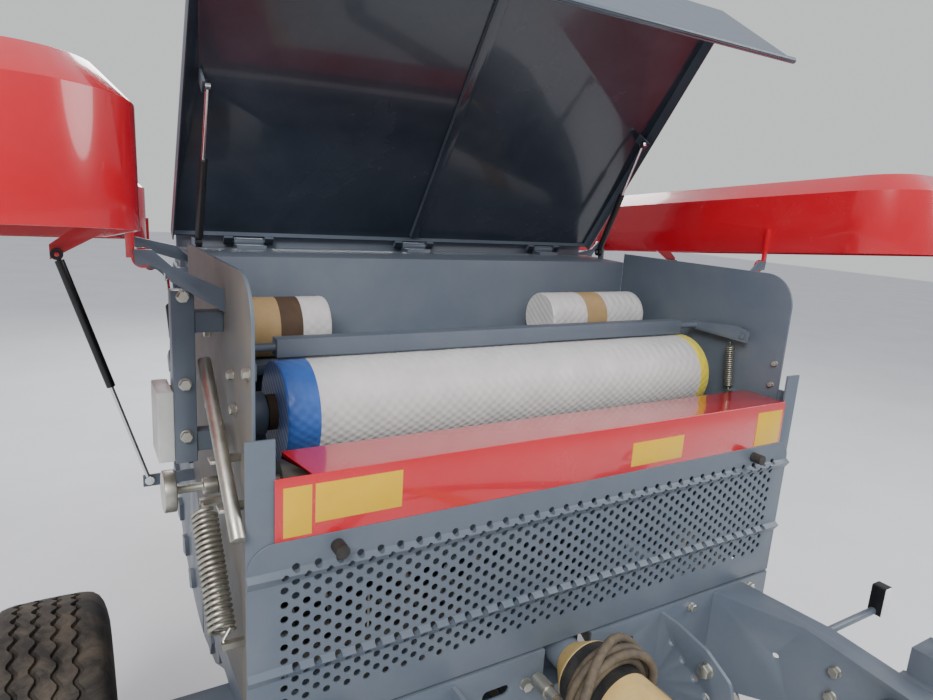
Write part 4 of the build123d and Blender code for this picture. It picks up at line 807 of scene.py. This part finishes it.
# %% The table of bolts
BOLTS = [  # x, y, z, the way the head faces, size across flats; all lengths in mm
    (-714, 57, 1640, (-1, 0, 0), 17), (-714, 163, 1546, (-1, 0, 0), 17), (-714, 186, 1605, (-1, 0, 0), 17),
    (-714, 420, 1640, (-1, 0, 0), 17), (-714, 420, 1480, (-1, 0, 0), 17), (714, 57, 1640, (1, 0, 0), 17),
    (714, 163, 1546, (1, 0, 0), 17), (714, 420, 1640, (1, 0, 0), 17), (708, 60, 1560, (-1, 0, 0), 13),
    (708, 62, 1500, (-1, 0, 0), 13), (-786, 262, 1740, (0, -1, 0), 19), (-786, 262, 1573, (0, -1, 0), 19),
    (-786, 262, 1470, (0, -1, 0), 19), (305, -162, 881, (-1, 0, 0), 30), (-305, -162, 881, (1, 0, 0), 30),
    (-120, -4, 880, (0, -1, 0), 24), (-420, -4, 925, (0, -1, 0), 19), (-420, -4, 800, (0, -1, 0), 19),
    (420, -4, 925, (0, -1, 0), 19), (420, -4, 800, (0, -1, 0), 19), (-660, -4, 925, (0, -1, 0), 19),
    (-660, -4, 780, (0, -1, 0), 19), (660, -4, 925, (0, -1, 0), 19), (660, -4, 780, (0, -1, 0), 19),
]
BEAM_BOLT_YS, BEAM_BOLT_ZS = (-300, -460), (870, 800)
BOLTS += [(side * 612, y, z, (-side, 0, 0), 24)
          for side in (-1, 1) for y in BEAM_BOLT_YS for z in BEAM_BOLT_ZS]
print("bolts:", len(BOLTS))

# %% Bolts
WASHER_SHARE, CORNER_SHARE, TALL_SHARE = 0.62, 0.577, 0.62  # of the size across flats
WASHER_BACK, WASHER_SHOULDER, WASHER_FACE = -0.001, 0.0018, 0.0022
CHAMFER = 0.0012


def one_bolt(across):
    """A washer and a hexagon head with its chamfer, for a size across flats in metres; it faces +X."""
    bm = bmesh.new()
    rim = across * WASHER_SHARE
    washer = [(WASHER_BACK, 0), (WASHER_BACK, rim), (WASHER_SHOULDER, rim), (WASHER_FACE, rim - 0.0005),
              (WASHER_FACE, 0)]
    put_turned(bm, washer, Matrix.Identity(4), sides=28)
    corner, tall = across * CORNER_SHARE, across * TALL_SHARE
    head = [(0.002, 0), (0.002, corner), (tall, corner), (tall + CHAMFER, corner * 0.86), (tall + CHAMFER, 0)]
    put_turned(bm, head, Matrix.Identity(4), sides=6)
    return new_mesh("one_bolt", bm)


tree, given = new_tree("bolts_on_points", [
    ("Bolt", "Object", None), ("Turn", "Vector", (0.0, 0.0, 0.0)), ("Material", "Material", None)])
bolt = add(tree, "GeometryNodeObjectInfo", {"Object": given["Bolt"]})
placed = add(tree, "GeometryNodeInstanceOnPoints", {
    "Points": given["Geometry"], "Instance": bolt.outputs["Geometry"], "Rotation": given["Turn"]})
ends_with(tree, placed.outputs[0], given["Material"])

bm = bmesh.new()
for way, across in sorted({row[3:] for row in BOLTS}):
    points = bpy.data.meshes.new("bolt_points")
    points.from_pydata([Vector(row[:3]) / 1000 for row in BOLTS if row[3:] == (way, across)], [], [])
    pattern = put_in_scene("one_bolt", one_bolt(across / 1000))
    turn = tuple(facing((0, 0, 0), way).to_euler())
    bm.from_mesh(grown(points, tree, Bolt=pattern, Turn=turn, Material=zinc))
    bpy.data.objects.remove(pattern)
bolts = new_mesh("bolts", bm)
smooth(bolts, 35)
keep("bolts", bolts, [zinc], "machine", slot_of_node["side_spring"])
print("bolt faces:", len(bolts.polygons))

# %% [markdown]
# ## Tyres
# A trailer tyre on a baler carries long ribs parted by zigzag grooves. The tread is a grid: going round,
# each column of points is one slice of the tyre, and a groove's points swing from side to side from one
# slice to the next.

# %% Tyres with zigzag grooves
SIDE_WALL = [  # across the tyre, radius; from the bead to the shoulder
    (-0.108, 0.200), (-0.113, 0.214), (-0.122, 0.235), (-0.134, 0.262), (-0.1425, 0.288),
    (-0.1448, 0.310), (-0.1442, 0.332), (-0.140, 0.358), (-0.133, 0.383), (-0.123, 0.401),
    (-0.108, 0.4135), (-0.094, 0.4175),
]
GROOVES = (-0.066, -0.022, 0.022, 0.066)
GROOVE_CUT = ((-0.0065, 0), (-0.004, 0.011), (0.004, 0.011), (0.0065, 0))  # across, depth
SLICES = 288
SWING = (0, 1, 1, 0, -1, -1)
SWING_M = 0.006
CROWN_R, CROWN_FALL = 0.4215, 0.3  # the radius falls by this times the square of the way from the middle


def tyre_mesh(name, middle):
    """A tyre about its middle: one closed outline for each slice, joined to the next slice's."""
    bm = bmesh.new()
    slices = []
    for i in range(SLICES):
        outline = [Vector(spot) for spot in SIDE_WALL]
        for k, x in enumerate(GROOVES):
            x += SWING_M * SWING[i % len(SWING)] * (1 if k % 2 else -1)
            crown = CROWN_R - CROWN_FALL * x * x
            outline += [Vector((x + dx, crown - depth)) for dx, depth in GROOVE_CUT]
        outline += [Vector((-spot[0], spot[1])) for spot in reversed(SIDE_WALL)]
        turn = 2 * math.pi * i / SLICES
        slices.append([bm.verts.new(middle + Vector((q.x, q.y * math.cos(turn), q.y * math.sin(turn))))
                       for q in outline])
    for one, two in zip(slices, slices[1:] + slices[:1]):
        for j in range(len(one)):
            k = (j + 1) % len(one)
            bm.faces.new([one[j], one[k], two[k], two[j]])
    mesh = new_mesh(name, bm)
    smooth(mesh, 32)
    return mesh


for word in ("left", "right"):
    low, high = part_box("tyre_" + word)
    middle = (Vector(low) + Vector(high)) / 2
    keep_node("tyre_" + word, tyre_mesh("tyre_" + word, middle), tread_rubber)
print("tyre grooves:", len(GROOVES), "slices:", SLICES)

# %% [markdown]
# ## What keeps its CAD shape
# Pins, rods, rollers and rims are turned parts, and the CAD's own mesh is right for them.
# They only need their finish, which is given to the node's own material slots.

# %% Finishes for the other nodes
CAD_FINISHES = [  # the finish, and the nodes that get it
    (rim_paint, ("rim_left", "rim_right")),
    (rubber, ("gauge_wheel_left", "gauge_wheel_right", "panel_buffers", "feed_roller_rubber")),
    (bare_steel, ("chamber_rollers", "tailgate_rollers", "feed_roller_steel", "pto_shaft")),
    (chrome, ("hose_fitting", "lid_strut_rods", "cover_strut_rod_left", "cover_strut_rod_right",
              "tail_cylinder_rods")),
    (black_plastic, ("lid_strut_tubes", "cover_strut_tube_left", "cover_strut_tube_right",
                     "tail_cylinder_tubes")),
    (zinc, ("hose_coupler", "pickup_reel")),
    (galvanised, ("pickup_bands",)),
    (guard_plastic, ("pto_shield", "pto_guard")),
]
for material, nodes in CAD_FINISHES:
    for node in nodes:
        data = frame["nodes"][node].data
        data.materials.clear()
        data.materials.append(material)
print("finished nodes:", sum(len(nodes) for _, nodes in CAD_FINISHES))

# %% [markdown]
# ## The shield's boot
# The cream shield goes over into a black rubber boot under the hose's turns. It is a thin sleeve that
# lies on the shield, so a turned ring 0.9 mm thick is all that it needs.

# %% Rubber boot
BOOT_Y, BOOT_LONG = -0.190, 0.116
BOOT_IN, BOOT_OUT = 0.0782, 0.0791
ring = [(0, BOOT_IN), (BOOT_LONG, BOOT_IN), (BOOT_LONG, BOOT_OUT), (0, BOOT_OUT)]
bm = bmesh.new()
put_turned(bm, ring, facing((0, BOOT_Y, AXIS_Z), (0, 1, 0)), sides=64, closed=True)
boot = new_mesh("shield_boot", bm)
keep("shield_boot", boot, [rubber], "machine", "rubber")
print("boot faces:", len(boot.polygons))
